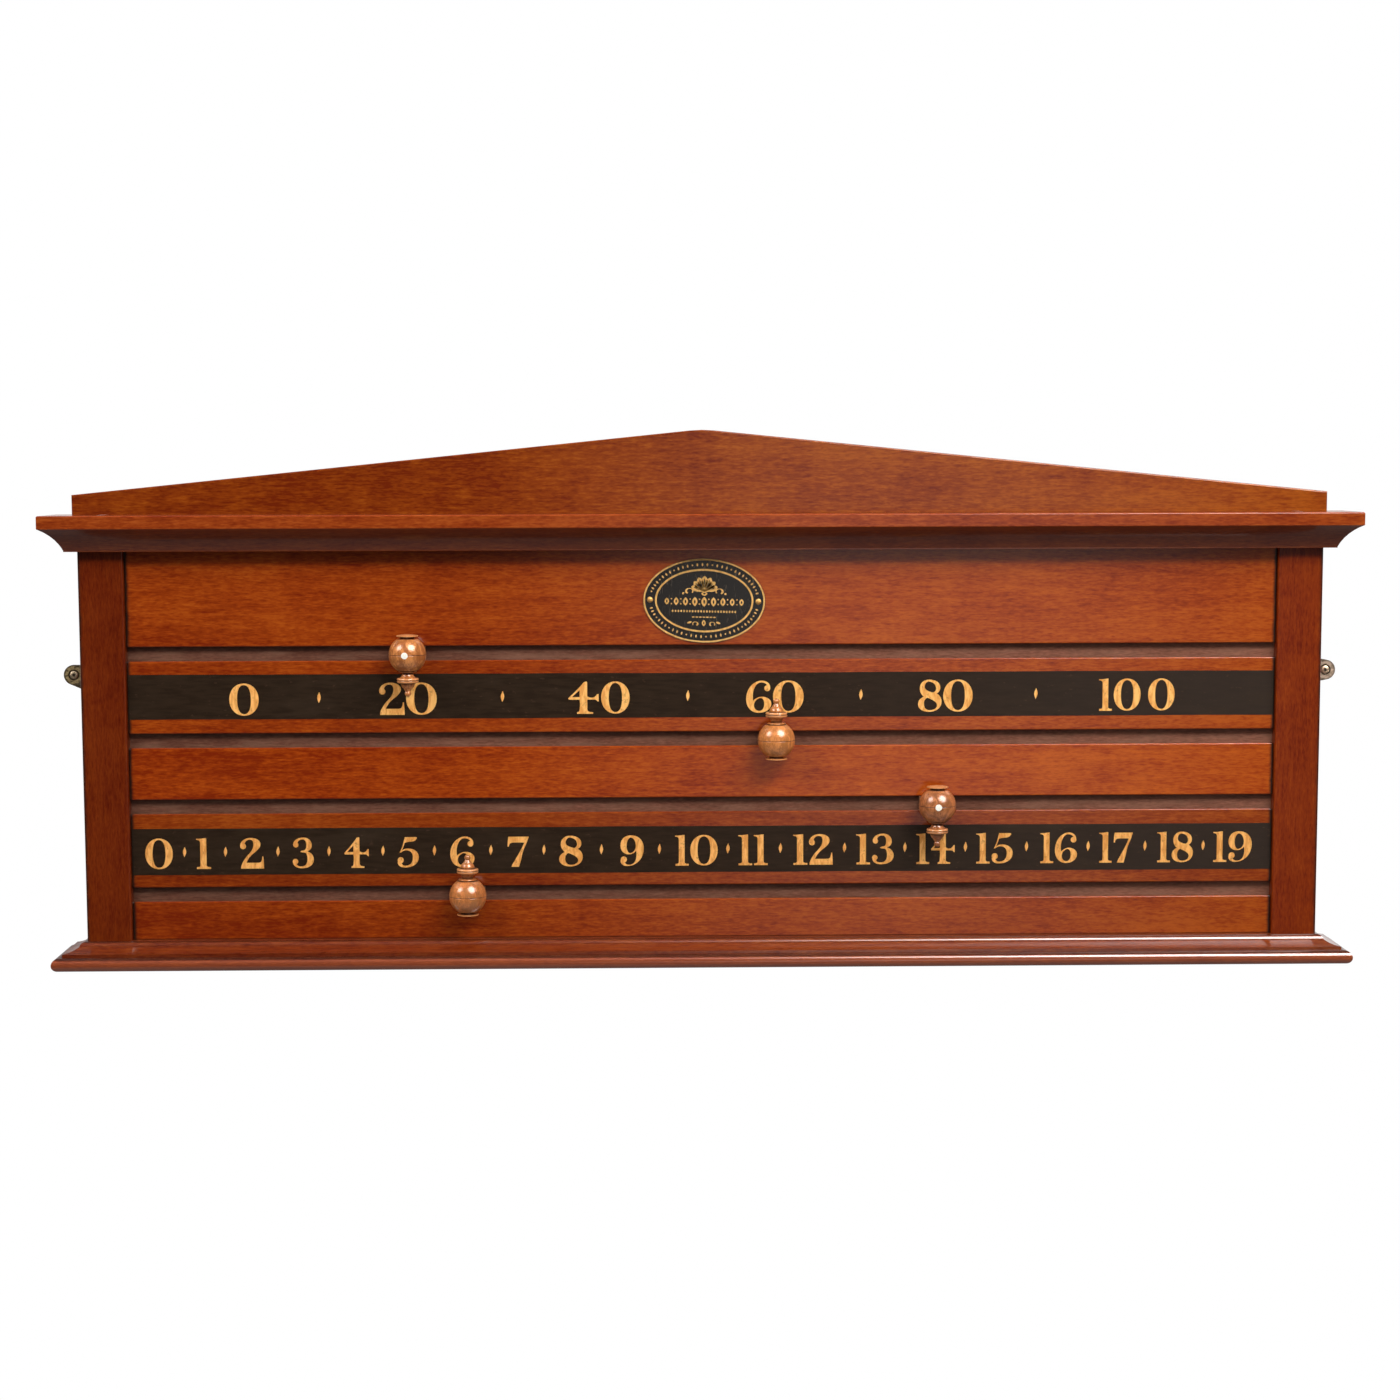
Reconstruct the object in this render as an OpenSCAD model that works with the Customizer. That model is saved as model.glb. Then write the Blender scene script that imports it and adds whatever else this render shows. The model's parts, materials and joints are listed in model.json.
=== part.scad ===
// Two-player billiards and snooker marker board, millimetres, +Z up, front towards -Y.
// The origin is midway between the two hanging holes, in the plane of the wall.

/* [Case] */
// Width over the two stiles
case_w = 917; // [880:1:960]
// Depth from the wall to the face of the stiles
case_d = 40; // [38:1:50]
// Width of each stile
stile_w = 33.4; // [28:0.2:44]
// How far the stiles stand in front of the boards between them
stile_proud = 4; // [2:0.5:6]
// Rounding of the stiles' front arrises
stile_arris = 1.2; // [0.4:0.2:2]
// Thickness of the backboard, which is the floor of the slots
backboard_t = 12; // [9:1:14]
// Depth of the grooves in the stiles that hold the backboard
housing_d = 8; // [4:1:12]
// Thickness of the board that caps the case
cap_t = 18; // [14:1:24]

/* [Boards and slots] */
// Thickness of the five boards
board_t = 5; // [5:0.5:9]
// Thickness of the lips that keep the sliders in
lip_t = 2.4; // [2:0.1:2.6]
// Height of each open slot between two boards
slot_h = 10.7; // [9:0.1:13]
// Height of the rebate cut behind each lip
rebate_h = 3; // [2:0.5:4]
// Height of the bottom board
bottom_rail_h = 28.6; // [22:0.2:36]
// Height of the board with the numbers 0 to 19
units_board_h = 55; // [50:0.5:62]
// Height of the board between the two rows of numbers
middle_rail_h = 38.5; // [32:0.5:46]
// Height of the board with the numbers 0 to 100
hundreds_board_h = 53.6; // [48:0.2:60]
// Height of the top board that shows below the cornice
top_rail_h = 70.5; // [66:0.5:90]
// Rounding of the boards' arrises along the slots
board_arris = 0.9; // [0.3:0.1:1]
// Open joint between the boards' ends and the stiles
end_gap = 0.4; // [0.2:0.1:0.8]

/* [Base] */
// Thickness of the base board
base_h = 19.5; // [17:0.1:24]
// Radius of the roll along the bottom of the base moulding
roll_r = 5; // [4:0.1:5.4]
// How far the base moulding stands out from the case
base_out = 22.8; // [21:0.1:26]
// Radius of the ovolo along the top of the base moulding
ovolo_r = 4.5; // [3:0.1:5]
// Radius of the hollow flare between the ovolo and the roll
flare_r = 21; // [16:0.5:30]
// How far out the flare's lip stands
flare_out = 15.8; // [14:0.1:17]
// Height of the flare's lip
flare_h = 12.2; // [11.5:0.1:13]

/* [Cornice] */
// Height of the cornice moulding
cornice_h = 26.4; // [24:0.2:30]
// How far the cornice stands out from the case
cornice_out = 24; // [22:0.5:28]
// Height of the square fillet at the top of the cornice
fillet_h = 9.9; // [8:0.1:12]
// Radius of the cove
cove_r = 31.6; // [24:0.2:40]
// How far out the foot of the cove stands
cove_foot = 8.2; // [7:0.1:10]
// Height of the step below the cove
cove_step = 0.8; // [0.6:0.1:2]
// Rounding of the fillet's upper arris
fillet_arris = 1.2; // [0.5:0.1:2]
// Rounding of the fillet's lower arris
fillet_ease = 0.8; // [0.4:0.1:1.2]

/* [Pediment] */
// Width of the pediment
pediment_w = 934; // [900:1:940]
// Thickness of the pediment
pediment_t = 14; // [10:1:18]
// Height of its square ends
pediment_end_h = 14.5; // [8:0.1:24]
// Height at its middle
pediment_mid_h = 61.7; // [40:0.1:80]
// Half width of the eased point at its middle
pediment_ease = 9; // [4:1:20]
// Rounding of its front arris
pediment_arris = 1.2; // [0.4:0.1:2]

/* [Hanging plates] */
// Distance between the two hanging holes
hang_spacing = 942; // [938:1:946]
// Height of the hanging holes above the underside of the base
hang_h = 215; // [180:0.5:250]
// Radius of the hanging holes
hang_hole_r = 2.5; // [2:0.1:3]
// Radius of the mouth of the holes' countersinks
hang_mouth_r = 4.2; // [3.4:0.1:5]
// Radius of the plates' round noses
nose_r = 7.5; // [6.5:0.1:9]
// Thickness of the plates
plate_t = 2.4; // [2:0.1:3]
// Length of a plate from its hole to its straight end
plate_l = 38; // [34:1:42]
// Half height of a plate at its straight end
plate_half = 15; // [13:1:18]
// Turn of the left plate about its hole, as it was fitted
left_plate_turn = 12; // [0:1:15]

/* [Oval plate] */
// Width of the oval plate
oval_w = 90; // [70:1:110]
// Height of the oval plate
oval_h = 62; // [50:1:66]
// Thickness of the oval plate
oval_t = 0.9; // [0.6:0.1:1.5]
// Middle of the oval plate, right of the case's centre line
oval_x = 0.8; // [-5:0.1:5]
// Middle of the oval plate, above the underside of the base
oval_z = 270.7; // [268:0.1:274]
// Turn of the oval plate
oval_turn = -1.3; // [-3:0.1:3]
// Distance of each round pin from the oval's middle
oval_pin_x = 40; // [30:0.5:41]

/* [Pointers] */
// Radius of a pointer's ball
ball_r = 13.8; // [12:0.1:14]
// Distance from the face of the boards to the ball's centre
ball_stand = 14; // [13.8:0.1:16]
// Length of the slider that runs in the slot
slider_l = 24; // [20:1:26]
// Clearance of the slider on every side
slider_gap = 0.25; // [0.15:0.05:0.4]
// Radius of the slider's round stem
stem_r = 4; // [3:0.25:4.5]
// Radius of the ivory spots
spot_r = 2.4; // [1.5:0.1:3]

/* [Pointer positions] */
// Spot player's hundreds pointer, right of the centre line
hundreds_spot_x = -217.2; // [-410:0.1:410]
// Plain player's hundreds pointer, right of the centre line
hundreds_plain_x = 53.5; // [-410:0.1:410]
// Spot player's units pointer, right of the centre line
units_spot_x = 172.8; // [-410:0.1:410]
// Plain player's units pointer, right of the centre line
units_plain_x = -175.1; // [-410:0.1:410]

/* [Screws] */
// Radius of the wood screws' shanks
screw_r = 1.7; // [1.4:0.1:2]
// Radius of the wood screws' countersunk heads
head_r = 3.4; // [3:0.1:4]

/* [Hidden] */
$fn = 64;

// Levels above the underside of the base, from the bottom up
bottom_rail_top = base_h + bottom_rail_h;
units_bottom = bottom_rail_top + slot_h;
units_top = units_bottom + units_board_h;
middle_bottom = units_top + slot_h;
middle_top = middle_bottom + middle_rail_h;
hundreds_bottom = middle_top + slot_h;
hundreds_top = hundreds_bottom + hundreds_board_h;
top_rail_bottom = hundreds_top + slot_h;
cornice_bottom = top_rail_bottom + top_rail_h;
cornice_top = cornice_bottom + cornice_h;
cap_bottom = cornice_top - cap_t;

// Places across the depth and the width
half_w = case_w / 2;
inner_half = half_w - stile_w;
board_face_y = stile_proud - case_d;
slot_floor_y = board_face_y + board_t;
backboard_back_y = slot_floor_y + backboard_t;
stile_mid = half_w - stile_w / 2;

// The pediment's corners from the lower left, anticlockwise
pediment_half = pediment_w / 2;
pediment_fall = (pediment_mid_h - pediment_end_h) / pediment_half;
pediment_eased_h = pediment_mid_h - pediment_fall * pediment_ease;
pediment_corners = [
  [-pediment_half, 0], [pediment_half, 0], [pediment_half, pediment_end_h],
  [pediment_ease, pediment_eased_h], [0, (pediment_mid_h + pediment_eased_h) / 2],
  [-pediment_ease, pediment_eased_h], [-pediment_half, pediment_end_h]
];

// A pointer is [x, middle of its slot, tip up = 1 or tip down = -1, turn of its spot]
hundreds_spot = [hundreds_spot_x, hundreds_top + slot_h / 2, -1, -4.5];
hundreds_plain = [hundreds_plain_x, middle_top + slot_h / 2, 1, 0];
units_spot = [units_spot_x, units_top + slot_h / 2, -1, -2];
units_plain = [units_plain_x, bottom_rail_top + slot_h / 2, 1, 0];

// Lengths along a pointer's axis, from the ball's centre towards its tip
ball_flat = 11.5;
button_s = -15;
button_r = 8;
collar_s = 12.2;
neck_r = 4.1;
neck_cove_r = 4;
flange_s = 17;
flange_r = 8;
flange_t = 3.8;
bell_r = 5.3;
bead_s = 28.6;
bead_r = 2.3;

// The slider's stem meets the ball on this flat seat
seat_depth = 1.5;
seat_y = board_face_y - ball_stand + ball_r - seat_depth;
knob_screw_l = 18;
spot_depth = 3;

// Screws: lengths and where they stand
rail_screw_l = backboard_t + board_t - 2;
rail_screw_x = [-380, -130, 130, 380];
cap_screw_l = 38;
cap_screw_y = [-33, -21];
base_screw_l = 44;
base_screw_y = [-28, -12];
pediment_screw_l = cap_t + 13;
pediment_screw_x = [-340, -170, 0, 170, 340];
plate_screw_r = 1.5;
plate_screw_head_r = 2.9;
plate_screw_l = 16;
plate_screw_in = 29;
plate_screw_z = 8;

// Pins of the oval plate
pin_r = 0.8;
pin_l = 3.6;

mahogany = [0.47, 0.19, 0.08];
mahogany_dark = [0.36, 0.14, 0.06];
knob_brown = [0.66, 0.40, 0.24];
aged_brass = [0.58, 0.49, 0.32];

// Heights are given from the underside of the base
module from_base() translate([0, 0, -hang_h]) children();

// What is left of a square corner outside an arc of radius r about the origin
module corner_waste(r) difference() {
  square(r + 1);
  circle(r);
}

// Centre of an arc of radius r through a and b, to the right of the way from a to b
function arc_centre(a, b, r) =
  let (chord = b - a, s = sqrt(r * r / (chord * chord) - 0.25))
  (a + b) / 2 + s * [chord[1], -chord[0]];

// Countersunk wood screw: head at the origin, pointing along +Z
module wood_screw(length, r, head) {
  point_l = 2.4 * r;
  difference() {
    union() {
      cylinder(h = head - r, r1 = head, r2 = r);
      cylinder(h = length - point_l, r = r);
      translate([0, 0, length - point_l]) cylinder(h = point_l, r1 = r, r2 = 0.2);
    }
    translate([-head, -0.4, -0.1]) cube([2 * head, 0.8, 1]);
  }
}

// Hole that a wood screw is driven into, a little wider than its shank
module screw_hole(length, r, head) {
  cylinder(h = head - r, r1 = head, r2 = r);
  cylinder(h = length + 0.5, r = r + 0.05);
}

// Ways that a screw points: head towards the wall, upwards or downwards
module from_wall() rotate([90, 0, 0]) children();
module from_above() rotate([180, 0, 0]) children();

// Screws through the backboard into the middle of each board
module rail_screw_places() {
  for (level = [
    (bottom_rail_top + base_h) / 2,
    (units_bottom + units_top) / 2,
    (middle_bottom + middle_top) / 2,
    (hundreds_bottom + hundreds_top) / 2,
    (top_rail_bottom + cap_bottom) / 2
  ])
    for (x = rail_screw_x)
      translate([x, backboard_back_y, level]) from_wall() children();
}
module cap_screw_places() {
  for (x = [-stile_mid, stile_mid])
    for (y = cap_screw_y)
      translate([x, y, cornice_top]) from_above() children();
}
module base_screw_places() {
  for (x = [-stile_mid, stile_mid])
    for (y = base_screw_y)
      translate([x, y, 0]) children();
}
module pediment_screw_places() {
  for (x = pediment_screw_x)
    translate([x, -pediment_t / 2, cap_bottom]) children();
}

// Runs a section along X: the section's x is the distance towards the front
module run_across(length)
  translate([-length / 2, 0, 0])
    rotate([90, 0, 90]) linear_extrude(length) mirror([1, 0]) children();

// Board between the stiles, rebated at the back where it borders a slot
module board_section(height, slot_below, slot_above) {
  difference() {
    square([board_t, height]);
    if (slot_below) {
      translate([-1, -1]) square([board_t - lip_t + 1, rebate_h + 1]);
      translate([board_t - board_arris, board_arris]) mirror([0, 1]) corner_waste(board_arris);
    }
    if (slot_above) {
      translate([-1, height - rebate_h]) square([board_t - lip_t + 1, rebate_h + 1]);
      translate([board_t - board_arris, height - board_arris]) corner_waste(board_arris);
    }
  }
}
module board(bottom, height, slot_below, slot_above) {
  from_base() difference() {
    translate([0, slot_floor_y, bottom])
      run_across(2 * (inner_half - end_gap)) board_section(height, slot_below, slot_above);
    rail_screw_places() screw_hole(rail_screw_l, screw_r, head_r);
  }
}

module bottom_rail() color(mahogany) board(base_h, bottom_rail_h, false, true);
module units_board() color(mahogany) board(units_bottom, units_board_h, true, true);
module middle_rail() color(mahogany) board(middle_bottom, middle_rail_h, true, true);
module hundreds_board() color(mahogany) board(hundreds_bottom, hundreds_board_h, true, true);
module top_rail() color(mahogany) difference() {
  board(top_rail_bottom, cap_bottom - top_rail_bottom, true, false);
  oval_place() oval_pin_places() pin_hole();
}

module backboard() color(mahogany_dark) from_base() difference() {
  translate([-inner_half - housing_d, slot_floor_y, base_h])
    cube([2 * (inner_half + housing_d), backboard_t, cap_bottom - base_h]);
  rail_screw_places() screw_hole(rail_screw_l, screw_r, head_r);
}

// Plan of the right stile: its front arrises are rounded
module stile_plan() {
  difference() {
    translate([inner_half, -case_d]) square([stile_w, case_d]);
    translate([half_w - stile_arris, stile_arris - case_d])
      mirror([0, 1]) corner_waste(stile_arris);
    translate([inner_half + stile_arris, stile_arris - case_d])
      rotate(180) corner_waste(stile_arris);
  }
}
module stile() {
  difference() {
    from_base() translate([0, 0, base_h]) linear_extrude(cap_bottom - base_h) stile_plan();
    from_base() translate([inner_half - 1, slot_floor_y, base_h - 1])
      cube([housing_d + 1, backboard_t, cap_bottom - base_h + 2]);
  }
}
module right_stile() color(mahogany) difference() {
  stile();
  plate_blank(0);
  plate_screw_places(0) screw_hole(plate_screw_l, plate_screw_r, plate_screw_head_r);
  from_base() cap_screw_places() screw_hole(cap_screw_l, screw_r, head_r);
  from_base() base_screw_places() screw_hole(base_screw_l, screw_r, head_r);
}
module left_stile() color(mahogany) difference() {
  mirror([1, 0, 0]) stile();
  mirror([1, 0, 0]) plate_blank(left_plate_turn);
  mirror([1, 0, 0]) plate_screw_places(left_plate_turn)
    screw_hole(plate_screw_l, plate_screw_r, plate_screw_head_r);
  from_base() cap_screw_places() screw_hole(cap_screw_l, screw_r, head_r);
  from_base() base_screw_places() screw_hole(base_screw_l, screw_r, head_r);
}

module base_board() color(mahogany) from_base() difference() {
  translate([-half_w, -case_d, 0]) cube([case_w, case_d, base_h]);
  base_screw_places() screw_hole(base_screw_l, screw_r, head_r);
}
module cap_board() color(mahogany) from_base() difference() {
  translate([-half_w, -case_d, cap_bottom]) cube([case_w, case_d, cap_t]);
  cap_screw_places() screw_hole(cap_screw_l, screw_r, head_r);
  pediment_screw_places() screw_hole(pediment_screw_l, screw_r, head_r);
}

// Low gable with square ends, standing on the cap at the wall
module pediment() color(mahogany) from_base() difference() {
  translate([0, 0, cornice_top]) rotate([90, 0, 0]) difference() {
    linear_extrude(pediment_t) polygon(pediment_corners);
    for (i = [1 : len(pediment_corners) - 1])
      pediment_arris_waste(pediment_corners[i], pediment_corners[(i + 1) % len(pediment_corners)]);
  }
  pediment_screw_places() screw_hole(pediment_screw_l, screw_r, head_r);
}
// What is planed off the front arris along one edge of the pediment
module pediment_arris_waste(a, b) {
  edge = b - a;
  translate([a[0], a[1], pediment_t - pediment_arris])
    rotate([90, 0, 90 + atan2(edge[1], edge[0])])
      translate([pediment_arris, 0, -2]) linear_extrude(norm(edge) + 4)
        mirror([1, 0]) corner_waste(pediment_arris);
}

// Cornice: low step, flat cove and square fillet
module cornice_profile() {
  fillet_bottom = cornice_h - fillet_h;
  cove_head = [cornice_out - fillet_ease, fillet_bottom];
  difference() {
    square(cove_head);
    translate(arc_centre([cove_foot, cove_step], cove_head, cove_r)) circle(cove_r, $fn = 128);
  }
  square([cove_foot, cove_step]);
  translate([0, fillet_bottom]) difference() {
    square([cornice_out, fillet_h]);
    translate([cornice_out - fillet_arris, fillet_h - fillet_arris]) corner_waste(fillet_arris);
    translate([cornice_out - fillet_ease, fillet_ease]) mirror([0, 1]) corner_waste(fillet_ease);
  }
}
// Base: ovolo, hollow flare, ledge and roll
module base_profile() {
  ovolo_in = 0.8;
  ovolo_foot = [ovolo_in + ovolo_r * cos(12), base_h - ovolo_r + ovolo_r * sin(12)];
  difference() {
    square([flare_out, ovolo_foot[1]]);
    translate(arc_centre([flare_out, flare_h], ovolo_foot, flare_r)) circle(flare_r, $fn = 128);
  }
  intersection() {
    square([ovolo_in + ovolo_r, base_h]);
    translate([ovolo_in, base_h - ovolo_r]) circle(ovolo_r);
  }
  square([ovolo_in, base_h]);
  square([base_out - roll_r, 2 * roll_r - 0.3]);
  translate([base_out - roll_r, roll_r]) circle(roll_r);
}

// Parts of the plan that belong to the front moulding and to the right return
module front_plan(out)
  polygon([
    [-half_w, -case_d], [half_w, -case_d],
    [half_w + out, -case_d - out], [-half_w - out, -case_d - out]
  ]);
module return_plan(out)
  polygon([[half_w, 0], [half_w + out, 0], [half_w + out, -case_d - out], [half_w, -case_d]]);

// A moulding runs round the case and is mitred at its front corners
module front_moulding(bottom) {
  out = 40;
  from_base() intersection() {
    translate([0, -case_d, bottom]) run_across(case_w + 2 * out) children();
    translate([0, 0, bottom - 1]) linear_extrude(cornice_h + 20) front_plan(out);
  }
}
module return_moulding(bottom) {
  out = 40;
  from_base() intersection() {
    translate([half_w, 0, bottom]) rotate([90, 0, 0]) linear_extrude(case_d + out) children();
    translate([0, 0, bottom - 1]) linear_extrude(cornice_h + 20) return_plan(out);
  }
}
module cornice_front() color(mahogany) front_moulding(cornice_bottom) cornice_profile();
module cornice_right() color(mahogany) return_moulding(cornice_bottom) cornice_profile();
module cornice_left() color(mahogany)
  mirror([1, 0, 0]) return_moulding(cornice_bottom) cornice_profile();
module base_moulding_front() color(mahogany) front_moulding(0) base_profile();
module base_moulding_right() color(mahogany) return_moulding(0) base_profile();
module base_moulding_left() color(mahogany)
  mirror([1, 0, 0]) return_moulding(0) base_profile();

// Hanging plate: round nose whose tangents run out to a straight end
module plate_outline() {
  spread = asin((plate_half - nose_r) / plate_l);
  circle(nose_r);
  polygon([
    [nose_r * sin(spread), nose_r * cos(spread)],
    [-plate_l, plate_half], [-plate_l, -plate_half],
    [nose_r * sin(spread), -nose_r * cos(spread)]
  ]);
}
// Right plate, turned about its hanging hole; the left one is its mirror image
module plate_blank(turn)
  translate([hang_spacing / 2, 0, 0]) rotate([90, 0, 0])
    linear_extrude(plate_t) rotate(turn) plate_outline();
module plate_screw_places(turn)
  translate([hang_spacing / 2, 0, 0]) rotate([0, -turn, 0])
    for (z = [-plate_screw_z, plate_screw_z])
      translate([-plate_screw_in, 0, z]) from_wall() children();
module hanging_plate(turn) difference() {
  plate_blank(turn);
  plate_screw_places(turn) screw_hole(plate_screw_l, plate_screw_r, plate_screw_head_r);
  translate([hang_spacing / 2, 0, 0]) from_wall() {
    translate([0, 0, -1]) cylinder(h = plate_t + 2, r = hang_hole_r);
    translate([0, 0, plate_t - hang_mouth_r + hang_hole_r])
      cylinder(h = hang_mouth_r - hang_hole_r + 0.01, r1 = hang_hole_r, r2 = hang_mouth_r);
  }
}
module hanging_plate_right() color(aged_brass) hanging_plate(0);
module hanging_plate_left() color(aged_brass) mirror([1, 0, 0]) hanging_plate(left_plate_turn);
module hanging_plate_screws() color(aged_brass) {
  plate_screw_places(0) wood_screw(plate_screw_l, plate_screw_r, plate_screw_head_r);
  mirror([1, 0, 0]) plate_screw_places(left_plate_turn)
    wood_screw(plate_screw_l, plate_screw_r, plate_screw_head_r);
}

// Oval plate on the top board, held by two round-headed pins
module oval_place()
  translate([oval_x, board_face_y, oval_z - hang_h]) rotate([90, 0, 0]) rotate(oval_turn) children();
module oval_pin_places() for (x = [-oval_pin_x, oval_pin_x]) translate([x, 0, 0]) children();
module pin_hole() translate([0, 0, -pin_l - 0.2]) cylinder(h = pin_l + oval_t, r = pin_r + 0.05);
module oval_plate() color("black") oval_place() difference() {
  linear_extrude(oval_t)
    polygon([for (a = [0 : 4 : 356]) [oval_w / 2 * cos(a), oval_h / 2 * sin(a)]]);
  oval_pin_places() translate([0, 0, -1]) cylinder(h = oval_t + 2, r = pin_r + 0.05);
}
module oval_plate_pins() color(aged_brass) oval_place() oval_pin_places() {
  head_dome = 2.7;
  translate([0, 0, -pin_l]) cylinder(h = pin_l + oval_t, r = pin_r);
  translate([0, 0, oval_t]) intersection() {
    translate([0, 0, 1.2 - head_dome]) sphere(head_dome);
    cylinder(h = 2, r = head_dome);
  }
}

module rail_screws() color("silver")
  from_base() rail_screw_places() wood_screw(rail_screw_l, screw_r, head_r);
module cap_screws() color("silver")
  from_base() cap_screw_places() wood_screw(cap_screw_l, screw_r, head_r);
module base_screws() color("silver")
  from_base() base_screw_places() wood_screw(base_screw_l, screw_r, head_r);
module pediment_screws() color("silver")
  from_base() pediment_screw_places() wood_screw(pediment_screw_l, screw_r, head_r);

// Half outline of a pointer: button, scored ball, collar, neck, flange, bell and bead
module pointer_profile() {
  intersection() {
    translate([0, -50]) square([50, 100]);
    difference() {
      union() {
        intersection() {
          translate([0, button_s + 36]) circle(36, $fn = 128);
          translate([0, button_s]) square([button_r, 1.7]);
        }
        translate([0, button_s + 1]) square([5.4, 3]);
        intersection() {
          circle(ball_r, $fn = 128);
          square([2 * ball_r, 2 * ball_flat], center = true);
        }
        translate([0, collar_s - 0.8]) square([6.1, 1.4]);
        translate([6.1, collar_s]) circle(0.6);
        difference() {
          translate([0, collar_s]) square([6, flange_s - collar_s + 0.2]);
          translate([neck_r + neck_cove_r, collar_s + 1.3]) circle(neck_cove_r);
        }
        translate([0, flange_s]) square([flange_r - 1.2, flange_t]);
        translate([0, flange_s + 1.2]) square([flange_r, flange_t - 2.4]);
        for (s = [1.2, flange_t - 1.2])
          translate([flange_r - 1.2, flange_s + s]) circle(1.2);
        intersection() {
          translate([0, flange_s + flange_t - 0.2]) circle(bell_r);
          translate([0, flange_s]) square(50);
        }
        polygon([[0, 20], [3.1, 25], [1.8, 27.2], [1.8, bead_s], [0, bead_s]]);
        translate([0, bead_s]) circle(bead_r);
      }
      translate([ball_r + 0.1, 0]) circle(0.4);
      translate([flange_r + 0.1, flange_s + flange_t / 2]) circle(0.45);
    }
  }
}

// Puts a pointer's ball on its centre, in front of the middle of its slot
module at_pointer(p) translate([p[0], board_face_y - ball_stand, p[1] - hang_h]) children();
module at_slot(p) translate([p[0], slot_floor_y, p[1] - hang_h]) children();
module knob_screw_place(p)
  translate([p[0], slot_floor_y - slider_gap, p[1] - hang_h]) from_wall() children();

module knob(p) difference() {
  at_pointer(p) mirror([0, 0, p[2] < 0 ? 1 : 0]) rotate_extrude() pointer_profile();
  translate([p[0] - ball_r, seat_y, p[1] - hang_h - ball_r])
    cube([2 * ball_r, seat_depth + 1, 2 * ball_r]);
  knob_screw_place(p) screw_hole(knob_screw_l, screw_r, head_r);
  if (p[3] != 0) spot_place(p) cylinder(h = spot_depth + 1, r = spot_r + 0.02);
}

// Ivory peg let into the front of the ball, with a small turner's centre mark
module spot_place(p)
  at_pointer(p) rotate([0, 0, p[3]]) translate([0, spot_depth - ball_r, 0]) from_wall() children();
module ivory(p) difference() {
  intersection() {
    spot_place(p) cylinder(h = spot_depth + 1, r = spot_r);
    at_pointer(p) sphere(ball_r + 0.15, $fn = 128);
  }
  spot_place(p) translate([0, 0, spot_depth - 0.3]) cylinder(h = 2, r = 0.3);
}

// T-shaped slider: foot behind the lips, neck between them, round stem to the ball
module slider_section() {
  foot_half = slot_h / 2 + rebate_h - slider_gap;
  neck_half = slot_h / 2 - slider_gap;
  foot_t = board_t - lip_t - 2 * slider_gap;
  translate([slider_gap, -foot_half]) square([foot_t, 2 * foot_half]);
  translate([slider_gap, -neck_half]) square([board_t - 2 * slider_gap, 2 * neck_half]);
}
module slider(p) difference() {
  union() {
    at_slot(p) run_across(slider_l) slider_section();
    translate([p[0], slot_floor_y - 1, p[1] - hang_h]) from_wall()
      cylinder(h = slot_floor_y - 1 - seat_y, r = stem_r);
  }
  knob_screw_place(p) screw_hole(knob_screw_l, screw_r, head_r);
}
module knob_screw(p) knob_screw_place(p) wood_screw(knob_screw_l, screw_r, head_r);

module hundreds_spot_knob() color(knob_brown) knob(hundreds_spot);
module hundreds_spot_slider() color(mahogany_dark) slider(hundreds_spot);
module hundreds_spot_screw() color("silver") knob_screw(hundreds_spot);
module hundreds_spot_ivory() color("ivory") ivory(hundreds_spot);
module hundreds_plain_knob() color(knob_brown) knob(hundreds_plain);
module hundreds_plain_slider() color(mahogany_dark) slider(hundreds_plain);
module hundreds_plain_screw() color("silver") knob_screw(hundreds_plain);
module units_spot_knob() color(knob_brown) knob(units_spot);
module units_spot_slider() color(mahogany_dark) slider(units_spot);
module units_spot_screw() color("silver") knob_screw(units_spot);
module units_spot_ivory() color("ivory") ivory(units_spot);
module units_plain_knob() color(knob_brown) knob(units_plain);
module units_plain_slider() color(mahogany_dark) slider(units_plain);
module units_plain_screw() color("silver") knob_screw(units_plain);

left_stile();
right_stile();
base_board();
cap_board();
backboard();
top_rail();
hundreds_board();
middle_rail();
units_board();
bottom_rail();
pediment();
cornice_front();
cornice_left();
cornice_right();
base_moulding_front();
base_moulding_left();
base_moulding_right();
hanging_plate_left();
hanging_plate_right();
hanging_plate_screws();
oval_plate();
oval_plate_pins();
rail_screws();
cap_screws();
base_screws();
pediment_screws();
hundreds_spot_knob();
hundreds_spot_slider();
hundreds_spot_screw();
hundreds_spot_ivory();
hundreds_plain_knob();
hundreds_plain_slider();
hundreds_plain_screw();
units_spot_knob();
units_spot_slider();
units_spot_screw();
units_spot_ivory();
units_plain_knob();
units_plain_slider();
units_plain_screw();
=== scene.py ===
import json
import math
import bmesh
import bpy
from mathutils import Matrix, Vector, noise
from mathutils.geometry import delaunay_2d_cdt

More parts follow.
